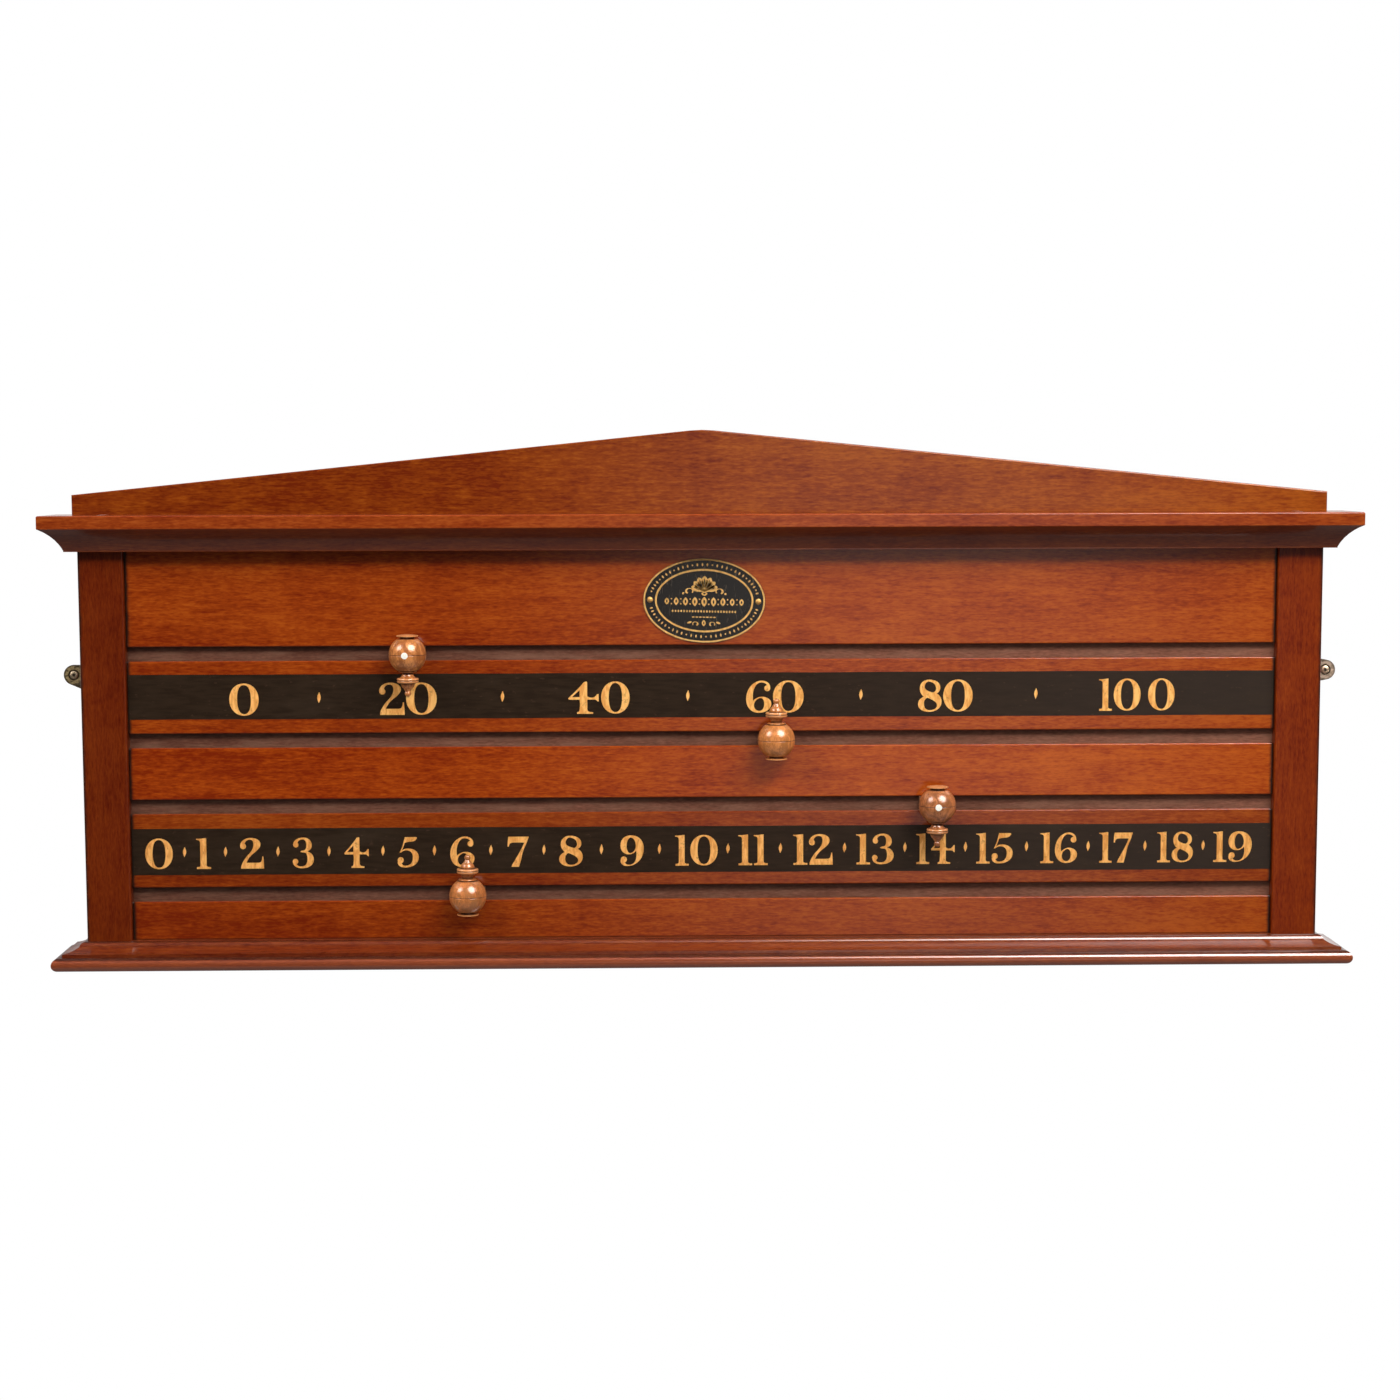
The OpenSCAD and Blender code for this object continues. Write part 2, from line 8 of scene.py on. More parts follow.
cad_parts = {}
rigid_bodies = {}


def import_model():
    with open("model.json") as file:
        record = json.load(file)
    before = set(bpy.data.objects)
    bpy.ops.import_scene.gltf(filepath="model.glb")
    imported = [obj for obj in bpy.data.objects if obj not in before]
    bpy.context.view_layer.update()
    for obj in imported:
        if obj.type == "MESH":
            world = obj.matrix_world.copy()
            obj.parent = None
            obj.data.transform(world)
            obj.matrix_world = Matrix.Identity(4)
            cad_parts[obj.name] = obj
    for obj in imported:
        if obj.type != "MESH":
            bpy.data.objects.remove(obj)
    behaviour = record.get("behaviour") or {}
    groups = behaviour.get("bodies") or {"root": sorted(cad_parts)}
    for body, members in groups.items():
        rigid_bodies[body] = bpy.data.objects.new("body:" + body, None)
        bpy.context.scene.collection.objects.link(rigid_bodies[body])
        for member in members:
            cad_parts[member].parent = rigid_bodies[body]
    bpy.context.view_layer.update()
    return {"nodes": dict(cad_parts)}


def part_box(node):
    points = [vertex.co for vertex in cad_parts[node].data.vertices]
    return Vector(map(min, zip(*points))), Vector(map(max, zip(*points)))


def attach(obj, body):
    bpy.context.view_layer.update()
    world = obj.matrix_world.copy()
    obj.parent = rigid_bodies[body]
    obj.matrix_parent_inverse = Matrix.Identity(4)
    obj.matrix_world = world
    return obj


# A wall-hung marker board in mahogany: finishes, painted numbers, gilt plate and wall screws

MM = 0.001

# Viewpoint of the picture: place in metres, angles in degrees, lens in millimetres
CAMERA_PLACE = (-0.0426, -2.0446, 0.1605)
CAMERA_TURN = 1.1408
CAMERA_DIP = -6.1777
CAMERA_ROLL = -0.1594
CAMERA_LENS = 69.97
LENS_RISE = 0.0374

# Sizes in millimetres, and heights above the underside of the base
PAINT = 0.05
GOLD = 0.05
GOLD_SUNK = 0.02
HUNDREDS_BAND = (184.2, 217.4)
UNITS_BAND = (68.2, 102.9)
HUNDREDS_MIDDLE = 199.3
UNITS_MIDDLE = 84.7
HUNDREDS_HEIGHT = 24.0
UNITS_HEIGHT = 23.1
ROW_RISE = 0.0012
LETTER_GAP = 1.2
LOZENGE_LIFT = 1.2
HUNDREDS_LOZENGE = (1.3, 4.1)
UNITS_LOZENGE = (1.25, 3.9)
LOZENGE_TURN = -3
LOZENGE_BOW = 1.45

# The hand-cut edges of the bands: sway in millimetres, waves to a metre, steps along the board
BAND_WAVE = 0.22
BAND_WAVES = 22
BAND_SEED = 3.7
BAND_STEPS = 180

# Left and right edge of each painted number, in millimetres from the middle of the board
HUNDREDS = (
    (("0", -350.2, -328.5),),
    (("20", -239.7, -197.2),),
    (("4", -100.1, -77.5), ("0", -75.7, -54.6)),
    (("60", 31.7, 74.4),),
    (("80", 159.4, 200.0),),
    (("10", 294.1, 325.1), ("0", 330.7, 350.5)),
)
UNITS = (
    (("0", -414.8, -394.4),), (("1", -377.0, -366.3),), (("2", -344.5, -327.0),),
    (("3", -305.9, -290.0),), (("4", -267.4, -249.2),), (("5", -228.1, -212.1),),
    (("6", -188.7, -170.7),), (("7", -146.3, -130.3),), (("8", -107.7, -90.2),),
    (("9", -62.3, -44.7),), (("10", -21.3, 10.4),), (("11", 25.7, 47.7),),
    (("12", 66.7, 96.3),), (("13", 113.8, 141.8),), (("14", 158.6, 187.5),),
    (("15", 203.5, 230.9),), (("16", 251.5, 279.1),), (("17", 295.7, 320.8),),
    (("18", 339.2, 366.1),), (("19", 381.2, 410.2),),
)

# The digits, each on a square of 100 units: width, solid outlines, cut outlines, round ends
DIGITS = {
    "0": (90, (
        "M 0 50 C 0 79 19 100 45 100 71 100 90 79 90 50 90 21 71 0 45 0 19 0 0 21 0 50",), (
        "M 24 50 C 24 79 31 95 45 95 59 95 66 79 66 50 66 21 59 5 45 5 31 5 24 21 24 50",), ()),
    "1": (44, (
        "M 1 0 L 44 0 44 6 C 35 6 31 7 31 13 L 31 100 25 100 C 17 98 9 98 0 98"
        " L 0 95 C 8 94 12 92 12 86 L 12 13 C 12 7 9 6 1 6",), (), ()),
    "2": (74, (
        "M 0 74 C 1 90 16 100 33 100 52 100 64 91 64 79 64 68 52 58 42 50 32 42 24 32 19 19"
        " L 2 0 2 6 C 5 18 12 30 22 42 32 52 42 64 42 79 42 89 38 94 31 94 22 94 16 89 14 80",
        "M 2 0 L 74 0 C 74 13 73 27 72 39 L 69 39 C 68 26 66 19 57 19 L 19 19 C 10 14 5 9 2 0"),
        (), ((9.5, 72.5, 9.5),)),
    "3": (70, (
        "M 3 76 C 4 91 18 100 36 100 53 100 64 89 64 75 64 65 58 58 49 55 61 51 70 42 70 29"
        " 70 11 54 0 31 0 13 0 2 8 2 20 L 14 14 C 16 8 21 6 28 6 42 6 49 14 49 29 49 42 46 51 40 51"
        " L 31 52 C 25 52 25 56 31 57 L 37 58 C 43 59 46 64 46 75 46 88 42 94 33 94 26 94 20 91 18 84",),
        (), ((12, 76, 8.5), (10, 22, 9))),
    "4": (80, (
        "M 41 98 L 48 100 50 97 50 54 C 56 50 62 49 67 51 72 54 74 57 76 61 L 80 61 80 38 77 38"
        " C 75 42 72 44 68 44 L 50 44 50 15 C 50 8 54 5 65 5 L 65 0 23 0 23 5 C 28 5 30 9 30 15"
        " L 31 30 30 44 2 44 0 48 C 14 64 31 82 41 98",), (
        "M 30 73 L 30 52 10 52 C 17 60 24 67 30 73",), ()),
    "5": (69, (
        "M 25 99 L 61 99 64 97 C 60 87 54 84 42 84 33 83 28 82 24 80 22 71 18 62 13 50 L 8 49"
        " C 14 61 19 73 21 84",
        "M 11 49 C 16 58 24 62 34 62 54 62 69 51 69 34 69 13 50 0 25 0 11 0 1 6 1 19 L 14 14"
        " C 15 9 20 6 27 6 42 7 50 16 50 34 50 48 42 56 30 56 23 56 17 54 12 49"),
        (), ((11, 24, 10),)),
    "6": (74, (
        "M 43 100 C 16 96 0 70 0 43 0 18 14 0 37 0 58 0 74 12 74 28 74 41 61 50 46 50 36 50 27 44"
        " 21 38 19 48 19 60 22 70 26 84 33 94 44 94 53 94 60 90 63 83 L 71 78 C 71 92 58 101 43 100",), (
        "M 40 46 C 30 42 23 34 23 24 23 13 30 6 38 6 48 6 53 15 53 28 53 40 48 47 40 46",),
        ((62, 76, 9.4),)),
    "7": (67, (
        "M 4 98 L 67 98 67 96 C 63 86 61 78 57 70 53 61 48 50 46 38 44 28 41 16 36 0 L 13 0"
        " C 14 8 20 14 26 26 33 38 43 54 53 78 50 79 45 79 40 79 L 20 79 C 10 79 6 75 5 66 L 1 66"
        " C 1 78 2 88 4 98",), (), ()),
    "8": (72, (
        "M 34 100 C 16 100 5 88 5 73 5 61 10 54 17 47 6 42 0 34 0 24 0 9 14 0 34 0 56 0 72 12 72 32"
        " 72 44 66 51 57 57 64 61 68 67 68 75 68 90 54 100 34 100",), (
        "M 31 94 C 24 92 20 86 20 77 20 67 36 62 46 60 51 62 55 66 55 72 55 86 44 94 31 94",
        "M 28 44 C 21 40 18 34 18 26 18 13 24 5 36 5 49 5 58 12 58 20 58 32 42 38 28 44"), ()),
    "9": (77, (
        "M 35 100 C 14 100 1 86 1 67 1 50 12 38 28 38 38 38 46 42 52 50 54 40 53 28 50 19"
        " 47 9 39 4 29 4 21 4 16 8 14 13 L 1 19 C 1 7 9 0 23 0 54 0 77 25 77 57 77 84 60 100 35 100",), (
        "M 33 93 C 24 88 21 76 21 64 21 52 26 42 33 42 42 43 51 52 51 66 51 81 44 93 33 93",),
        ((12, 21.5, 10),)),
}

# Pointers: height of the ball's middle in the frame, tip up or down, seed, wood and stain colours
POINTERS = {
    "hundreds_spot": (17.65, -1, (3.1, 0.7, 2.2), (0.64, 0.236, 0.067), (0.30, 0.085, 0.022, 1)),
    "hundreds_plain": (-46.65, 1, (6.2, 2.7, 4.9), (0.63, 0.222, 0.062), (0.41, 0.140, 0.036, 1)),
    "units_spot": (-95.85, -1, (1.9, 5.3, 7.3), (0.48, 0.165, 0.057), (0.22, 0.072, 0.026, 1)),
    "units_plain": (-161.55, 1, (8.4, 4.1, 1.2), (0.545, 0.178, 0.050), (0.36, 0.135, 0.042, 1)),
}
# Places along a pointer from the middle of its ball to the tip, and half widths, in millimetres
# Dark lines: dirt in the scored equator and on the flange; under the button, at the collar and in the neck
# the darkening is painted shade
POINTER_GROOVES = ((-12.4, 0.7), (0.0, 0.04), (11.7, 0.2), (13.7, 0.6), (18.9, 0.15), (21.1, 0.2))
POINTER_RIMS = ((-14.3, 0.7), (18.9, 1.6))
LINE_EDGE = 0.3

# The oval plate: turn in degrees, half widths and half heights in millimetres
PLATE_TURN = -1.3
PLATE_HALF = (45.0, 31.0)
RIM_INSET = 0.1
RIM_WIDTH = 1.3
RING_HALF = (36.4, 23.4)
RING_WIDTH = 1.4
BEADS = 68
BEAD_HALF = (0.62, 1.25)
BEAD_DOT = (0.6, 0.6)
PIN_ROOM = 4.2

# Its decoration, each height from the middle of the plate, in millimetres
PALMETTE_FOOT = 6.6
PETAL_WIDE = 2.3
VEIN_WIDE = 0.35
PETALS = ((0, 11.6), (24, 11.4), (-24, 11.4), (47, 10.8), (-47, 10.8), (69, 10.4), (-69, 10.4))
ROW_STEP = 6.9
ROW_HEIGHT = -0.8
ROW_BEAD_HEIGHTS = (1.0, -2.6)
PEARL_STEP = 2.1
PEARL_HEIGHT = -7.9
DASH_STEP = 2.6
DASH_HEIGHT = -12.2

# The wall screws in the hanging plates: millimetres, and the recess's turns and edges in degrees
HANG_X = 471.0
WALL_HEAD_R = 3.1
WALL_HEAD_RIM = 0.2
WALL_HEAD_DOME = 0.9
WALL_HEAD_CONE = 1.65
WALL_HEAD_BACK = 2.2
WALL_SHANK_R = 1.9
CROSS_ARM = 3.4
CROSS_WIDE = 0.95
CROSS_TOP = 1.2
CROSS_FOOT = -0.6
CROSS_TAPER = 0.55
CROSS_TURNS = (18, 108)
SHARP_EDGE = 32

# Which faces are the recess's own: room under its foot, depth under the dome, share of the radius
FACE_ROOM = 0.05
FACE_SUNK = 0.12
FACE_REACH = 0.7

# Darkening round a wall screw, by distance from its axis in millimetres: in the middle of the cross; painted
# shade in the countersink, where it starts, is full, thins, ends; and towards the plate's rim
CROSS_DARK_REACH = (0.8, 1.5)
COUNTERSINK_SHADE = (2.9, 3.3, 3.7, 4.6)
PLATE_RIM_DARK_REACH = (5.8, 7.4)

# Where dark wax and painted shade start and are thickest, from a board's end, in millimetres
BOARD_END_WAX_SHADE_REACH = (-2.0, 0.8)
BAND_END_WAX_SHADE_REACH = (-0.5, 1.5)
RAGGED_WAX_AND_SHADE = 2.0

# Strips of painted shade and painted light between two heights: from height, to height, strength and colour
STRIP_EDGE = 0.35
# Painted shade in the cove of the cornice, which faces down and gets little light
COVE_PAINTED_SHADE = ((300.0, 324.8, 0.50, (0.022, 0.017, 0.015, 1)),)
# Painted shade in two creases of the base moulding, at the top of its ovolo and above its roll, and painted
# light on the front of the roll
BASE_PAINTED_LIGHT_AND_SHADE = (
    (18.9, 19.7, 0.65, (0.020, 0.006, 0.003, 1)),
    (8.9, 9.8, 0.70, (0.020, 0.008, 0.005, 1)),
    (0.0, 8.0, 0.30, (0.46, 0.115, 0.045, 1)),
)
# Painted shade at the foot of the bottom rail, in the crease over the base moulding
RAIL_FOOT_PAINTED_SHADE = ((19.0, 20.3, 0.70, (0.030, 0.008, 0.003, 1)),)

# How much the finest fibre swings the tone of any wood
FIBRE_SHARE = 1.2

# Wood colours that several pieces share
SHADE_DARK = (0.58, 0.34, 0.22)
SHADE_LIGHT = (1.38, 1.85, 2.4)
BARE_WOOD = (0.19, 0.095, 0.055, 1)
BARE_SHARE = 0.55
BARE_ROUGH = 0.75
# Dark wax with painted shade at the ends of the boards
BOARD_ENDS_WAX_AND_SHADE = (0.022, 0.008, 0.004, 1)
SLOT_DUST = (0.25, 0.132, 0.086, 1)
WORN_RIM = (0.82, 0.36, 0.14, 1)
# Dirt in the pointers' grooves, with painted shade under the button, at the collar and in the neck
DIRT_AND_SHADE_IN_GROOVES = (0.075, 0.026, 0.012, 1)

# The black of the bands where it is whole, painted lighter towards the right where the light falls stronger,
# rubbed thin, chipped, and darkened at the ends with wax and painted shade
BAND_BLACK = ((0.0155, 0.0082, 0.0040, 1), (0.0240, 0.0135, 0.0070, 1))
BAND_LIT_SIDE = (0.034, 0.024, 0.019, 1)
BAND_RUBBED = (0.038, 0.024, 0.0145, 1)
BAND_SPECKS = (0.08, 0.042, 0.024, 1)
BAND_ENDS_WAX_AND_SHADE = (0.009, 0.005, 0.003, 1)

# Gold, bright and dull, and the share of the dull tone that is left where it is thin
HUNDREDS_GOLD = ((0.97, 0.52, 0.150, 1), (0.74, 0.31, 0.065, 1))
UNITS_GOLD = ((0.89, 0.45, 0.125, 1), (0.66, 0.265, 0.052, 1))
PLATE_GOLD = ((0.88, 0.50, 0.16, 1), (0.66, 0.36, 0.10, 1))
THIN_GOLD = 0.45

# Enamel, black and scuffed, and ivory, in its lines and between them
ENAMEL = ((0.012, 0.009, 0.007, 1), (0.04, 0.03, 0.022, 1))
IVORY = ((0.96, 0.90, 0.74, 1), (1.0, 0.98, 0.90, 1))

# Metals, clean and tarnished, among them the heads of the two wall screws, and the darkening on them
SCREW_STEEL = ((0.42, 0.39, 0.36, 1), (0.12, 0.09, 0.07, 1))
AGED_BRASS = ((0.50, 0.37, 0.17, 1), (0.15, 0.11, 0.055, 1))
RUBBED_BRASS = ((0.62, 0.46, 0.34, 1), (0.33, 0.24, 0.17, 1))
PIN_BRASS = ((0.83, 0.46, 0.13, 1), (0.50, 0.27, 0.09, 1))
LEFT_HEAD = ((0.70, 0.55, 0.37, 1), (0.40, 0.30, 0.18, 1))
RIGHT_HEAD = ((0.86, 0.64, 0.45, 1), (0.54, 0.38, 0.25, 1))
RECESS = ((0.050, 0.036, 0.022, 1), (0.020, 0.014, 0.009, 1))
CROSS_DARK_COLOUR = (0.045, 0.028, 0.014, 1)
PLATE_DARK_AND_SHADE = (0.055, 0.040, 0.022, 1)

WHITE = (1, 1, 1, 1)

# Soft light on the object from all round, weak from below and strong from above
FILL_BELOW = 0.08
FILL_ABOVE = 1.05

# The two lamps: direction, distance and size in metres, power in watts
LAMPS = {
    "right softbox": ((0.43, -0.63, 0.66), 1.75, (1.30, 0.30), 27.0),
    "left softbox": ((-0.66, -0.53, 0.54), 2.2, (1.20, 0.34), 17.0),
}

# A broad pale patch that the polish shows faintly: direction, full reach, outer reach, strength
SHEEN = ((0.10, -0.99, -0.02), 0.03, 0.165, 0.95)
SHEEN_TALL = 0.45

# How each light looks in polished curves: direction, strength, full reach, outer reach
GLINTS = (
    ((0.42, -0.56, 0.72), 22.0, 0.26, 0.40),
    ((-0.68, -0.38, 0.63), 15.0, 0.13, 0.32),
    ((0.63, 0.34, 0.70), 2.0, 0.16, 0.34),
    ((-0.66, 0.36, 0.66), 1.4, 0.16, 0.34),
)

# The floor under the hanging board, in metres, and its tone in light and in reflections
FLOOR_DROP = 1.3
FLOOR_REACH = 2.3
FLOOR_FADE = (0.55, 0.98)
FLOOR_TONE = (0.46, 0.455, 0.45, 1)
FLOOR_MIRRORED = (0.20, 0.198, 0.196, 1)
FLOOR_LIFT = 0.62


def clear_scene():
    for thing in list(bpy.data.objects):
        bpy.data.objects.remove(thing)


def put_in_scene(name, data):
    """A new object in the scene."""
    thing = bpy.data.objects.new(name, data)
    bpy.context.scene.collection.objects.link(thing)
    return thing


def corner_points(drawing):
    """Points of one closed outline: M and L give corners, C gives curves with two handles each."""
    words = drawing.split()
    points = []
    stroke = "M"
    while words:
        if words[0] in "MLC":
            stroke = words.pop(0)
        take = 3 if stroke == "C" else 1
        pairs = [Vector((float(words.pop(0)), float(words.pop(0)))) for _ in range(take)]
        if stroke != "C":
            points += pairs
            continue
        start = points[-1]
        length = (pairs[2] - start).length
        steps = max(3, min(9, int(length / 7) + 3))
        for step in range(1, steps + 1):
            t = step / steps
            points.append((1 - t) ** 3 * start + 3 * t * (1 - t) ** 2 * pairs[0]
                          + 3 * t * t * (1 - t) * pairs[1] + t ** 3 * pairs[2])
    if (points[0] - points[-1]).length < 0.5:
        points.pop()
    return points


def oval(x, z, half_x, half_z, count=24, turn=0.0):
    """Points round an oval, its long way turned by an angle in radians."""
    spin = Matrix.Rotation(turn, 2)
    angles = [math.tau * i / count for i in range(count)]
    return [Vector((x, z)) + spin @ Vector((half_x * math.cos(a), half_z * math.sin(a))) for a in angles]


def lozenge(x, z, half_x, half_z, turn=0.0, bow=0.9):
    """A pointed oval: two bowed sides that meet in a point at each end."""
    spin = Matrix.Rotation(turn, 2)
    rise = [-1, -0.7, -0.35, 0, 0.35, 0.7]
    right = [Vector((half_x * (1 - s * s) ** bow, half_z * s)) for s in rise]
    return [Vector((x, z)) + spin @ p for p in right + [-p for p in right]]


def counter_clockwise(points):
    """The same outline with its inside on the left."""
    turn = sum(a.x * b.y - b.x * a.y for a, b in zip(points, points[1:] + points[:1]))
    return points if turn > 0 else points[::-1]


def fill(solids, cuts=()):
    """Corners and triangles that cover every solid outline outside the cuts."""
    points = []
    faces = []
    for outline in list(solids) + list(cuts):
        outline = counter_clockwise(outline)
        faces.append(list(range(len(points), len(points) + len(outline))))
        points += outline
    corners, _, triangles, _, _, covers = delaunay_2d_cdt(points, [], faces, 1, 1e-5)
    kept = [t for t, over in zip(triangles, covers) if over and max(over) < len(solids)]
    return corners, kept


def slab(mesh, shape, place, front, back):
    """Adds a flat closed plate to a mesh: its corners are set by place, from depth front to back."""
    corners, triangles = shape
    used = sorted({i for t in triangles for i in t})
    spots = {i: place(corners[i]) for i in used}
    near = {i: mesh.verts.new((x, front, z)) for i, (x, z) in spots.items()}
    far = {i: mesh.verts.new((x, back, z)) for i, (x, z) in spots.items()}
    edges = []
    for a, b, c in triangles:
        mesh.faces.new((near[a], near[b], near[c]))
        mesh.faces.new((far[c], far[b], far[a]))
        edges += [(a, b), (b, c), (c, a)]
    shared = set(edges)
    for a, b in edges:
        if (b, a) not in shared:
            mesh.faces.new((near[b], near[a], far[a], far[b]))


def object_from(name, mesh):
    """Turns a bmesh into a named object."""
    data = bpy.data.meshes.new(name)
    mesh.to_mesh(data)
    mesh.free()
    return put_in_scene(name, data)


def finish_painted(name, mesh, material):
    """Turns a bmesh into a layer of paint or leaf on the case."""
    piece = object_from(name, mesh)
    piece.data.materials.append(material)
    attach(piece, "case")


# Shader nodes


def is_socket(value):
    return isinstance(value, bpy.types.NodeSocket)


def feed(socket, value):
    """Links a socket, or sets it when the value is plain."""
    if is_socket(value):
        socket.id_data.links.new(value, socket)
    else:
        socket.default_value = value


def new_node(tree, kind, inputs=(), **settings):
    """Sets up a node, feeds its inputs by name or number, and gives its outputs."""
    node = tree.nodes.new("ShaderNode" + kind)
    for key, value in settings.items():
        setattr(node, key, value)
    for key, value in dict(inputs).items():
        feed(node.inputs[key], value)
    return node.outputs


def fed_node(kind, inputs, **settings):
    """A new node in the tree of the sockets that feed it."""
    source = next(value for value in inputs.values() if is_socket(value))
    return new_node(source.id_data, kind, inputs, **settings)


def maths(operation, first, second=0.0, clamp=False):
    return fed_node("Math", {0: first, 1: second}, operation=operation, use_clamp=clamp)[0]


def times(first, second):
    return maths("MULTIPLY", first, second)


def plus(first, second):
    return maths("ADD", first, second)


def minus(first, second):
    return maths("SUBTRACT", first, second)


def stretch(vector, scale):
    """The vector times three factors: a large factor packs the pattern close."""
    return fed_node("VectorMath", {0: vector, 1: scale}, operation="MULTIPLY")[0]


def cloud(vector, scale, detail=2.0, roughness=0.5, warp=0.0):
    """Soft noise from 0 to 1, its size set by three cycles-per-metre factors."""
    inputs = {"Vector": stretch(vector, scale), "Scale": 1.0, "Detail": detail,
              "Roughness": roughness, "Distortion": warp}
    return fed_node("TexNoise", inputs)["Fac"]


def spread(value, low, high, to_low=0.0, to_high=1.0):
    """Maps a value from one range to another, with smooth ends."""
    inputs = {"Value": value, "From Min": low, "From Max": high, "To Min": to_low, "To Max": to_high}
    return fed_node("MapRange", inputs, interpolation_type="SMOOTHSTEP")["Result"]


def tint(share, under, over):
    """One colour over another, by a share from 0 to 1."""
    return fed_node("Mix", {0: share, 6: under, 7: over}, data_type="RGBA")[2]


def tint_number(share, under, over):
    """One number over another, by a share from 0 to 1."""
    return fed_node("Mix", {0: share, 2: under, 3: over}, data_type="FLOAT")[0]


def axes(vector):
    """The X, Y and Z of a vector."""
    return fed_node("SeparateXYZ", {0: vector})


def distance_from(vector, point):
    """How far a vector lies from one point."""
    return fed_node("VectorMath", {0: vector, 1: point}, operation="DISTANCE")["Value"]


def new_group(name, inputs, outputs):
    """An empty shader group, its named sockets listed by kind."""
    tree = bpy.data.node_groups.new(name, "ShaderNodeTree")
    kinds = {"colour": "NodeSocketColor", "number": "NodeSocketFloat", "vector": "NodeSocketVector"}
    for way, sockets in (("INPUT", inputs), ("OUTPUT", outputs)):
        for kind, keys in sockets.items():
            for key in keys.split():
                tree.interface.new_socket(key, in_out=way, socket_type=kinds[kind])
    return tree.nodes.new("NodeGroupInput").outputs, tree.nodes.new("NodeGroupOutput").inputs


def place_group(group, **values):
    """A copy of a group in a material, with its own values."""
    return fed_node("Group", values, node_tree=bpy.data.node_groups[group])


def wood_figure_group():
    """Grain that runs along X: growth bands, ribbon mottle, fine streaks and open pores, over a painted
    light slope that lightens the tone towards +X.
    """
    get, put = new_group("wood figure", dict(
        vector="Vector Seed", colour="Dark Mid Light", number="Bands Mottle Streaks Pores Fade",
    ), dict(colour="Color", number="Roughness Height"))
    spot = fed_node("VectorMath", {0: get["Vector"], 1: get["Seed"]}, operation="ADD")[0]
    fibre = cloud(spot, (210, 900, 900), 2.0)
    vessels = cloud(spot, (150, 1500, 1500), 1.0)
    # Painted light: the tone rises along X, so a piece is painted lighter towards the right, where the light
    # falls stronger.
    figure = times(axes(get["Vector"])["X"], get["Fade"])
    for pattern, share in (
        (cloud(spot, (4.5, 32, 32), 4.0, 0.6, 0.7), get["Bands"]),
        (cloud(spot, (34, 7, 12), 3.0, 0.6, 0.5), get["Mottle"]),
        (cloud(spot, (48, 430, 430), 5.0, 0.72, 0.3), get["Streaks"]),
        (fibre, FIBRE_SHARE),
    ):
        figure = plus(figure, times(minus(pattern, 0.5), share))
    tone = maths("ADD", figure, 0.5, clamp=True)
    lower = maths("MULTIPLY", tone, 2.0, clamp=True)
    upper = maths("SUBTRACT", times(tone, 2.0), 1.0, clamp=True)
    colour = tint(upper, tint(lower, get["Dark"], get["Mid"]), get["Light"])
    pores = spread(vessels, 0.60, 0.68)
    depth = times(pores, get["Pores"])
    feed(put["Color"], tint(depth, colour, get["Dark"]))
    feed(put["Roughness"], plus(spread(fibre, 0.3, 0.7, 0.0, 0.08), times(depth, 0.3)))
    feed(put["Height"], minus(times(fibre, 0.35), depth))


def polish_group():
    """Old polish: slow ripples in the surface and a bloom that dulls it in patches."""
    get, put = new_group("old polish", dict(vector="Vector", number="Gloss Bloom Fibre Grain"),
                         dict(number="Roughness Height"))
    ripple = times(cloud(get["Vector"], (9, 26, 26), 2.0), 4.0)
    smears = cloud(get["Vector"], (14, 40, 40), 4.0, 0.65, 0.8)
    bloom = times(spread(smears, 0.4, 0.68), get["Bloom"])
    feed(put["Roughness"], maths("ADD", plus(get["Gloss"], bloom), get["Fibre"], clamp=True))
    feed(put["Height"], plus(ripple, get["Grain"]))


def end_wax_and_shade_group():
    """Dark wax and dust, with painted shade, on the front of a piece, towards its left and right ends."""
    get, put = new_group("end wax and painted shade", dict(
        vector="Vector Normal", number="Start End", colour="Color Grime",
    ), dict(colour="Color"))
    sideways = maths("ABSOLUTE", axes(get["Normal"])["X"])
    front = spread(sideways, 0.4, 0.8, 1.0, 0.0)
    reach = maths("ABSOLUTE", axes(get["Vector"])["X"])
    patchy = cloud(get["Vector"], (120, 120, 120), 3.0)
    ragged = plus(reach, times(patchy, RAGGED_WAX_AND_SHADE * MM))
    mask = times(front, spread(ragged, get["Start"], get["End"]))
    feed(put["Color"], tint(mask, get["Color"], get["Grime"]))


def painted_strip_group():
    """A painted strip between two heights: painted shade with a dark mark, painted light with a pale one."""
    get, put = new_group("painted light and shade strip", dict(
        vector="Vector", number="Low High Share", colour="Color Mark",
    ), dict(colour="Color"))
    level = axes(get["Vector"])["Z"]
    soft = STRIP_EDGE * MM
    above = spread(level, minus(get["Low"], soft), get["Low"])
    below = spread(level, get["High"], plus(get["High"], soft), 1.0, 0.0)
    share = times(times(above, below), get["Share"])
    feed(put["Color"], tint(share, get["Color"], get["Mark"]))


def back_group():
    """Mask of the faces that look at the wall, which were never polished."""
    get, put = new_group("wall side", dict(vector="Normal"), dict(number="Mask"))
    feed(put["Mask"], spread(axes(get["Normal"])["Y"], 0.6, 0.9))


def new_material(name):
    """A new material, its Principled shader, and places in the coordinates of the frame."""
    material = bpy.data.materials.new(name)
    material.use_nodes = True
    tree = material.node_tree
    return material, tree.nodes["Principled BSDF"], new_node(tree, "TexCoord")["Object"]


def finish_shader(shader, colour, roughness, height, relief, **plain):
    """Feeds colour, roughness and relief (strength and depth), and sets what is the same all over."""
    strength, deep = relief
    bump = fed_node("Bump", {"Strength": strength, "Distance": deep, "Height": height})
    look = dict(Base_Color=colour, Roughness=roughness, Normal=bump["Normal"], **plain)
    for key, value in look.items():
        feed(shader.inputs[key.replace("_", " ")], value)


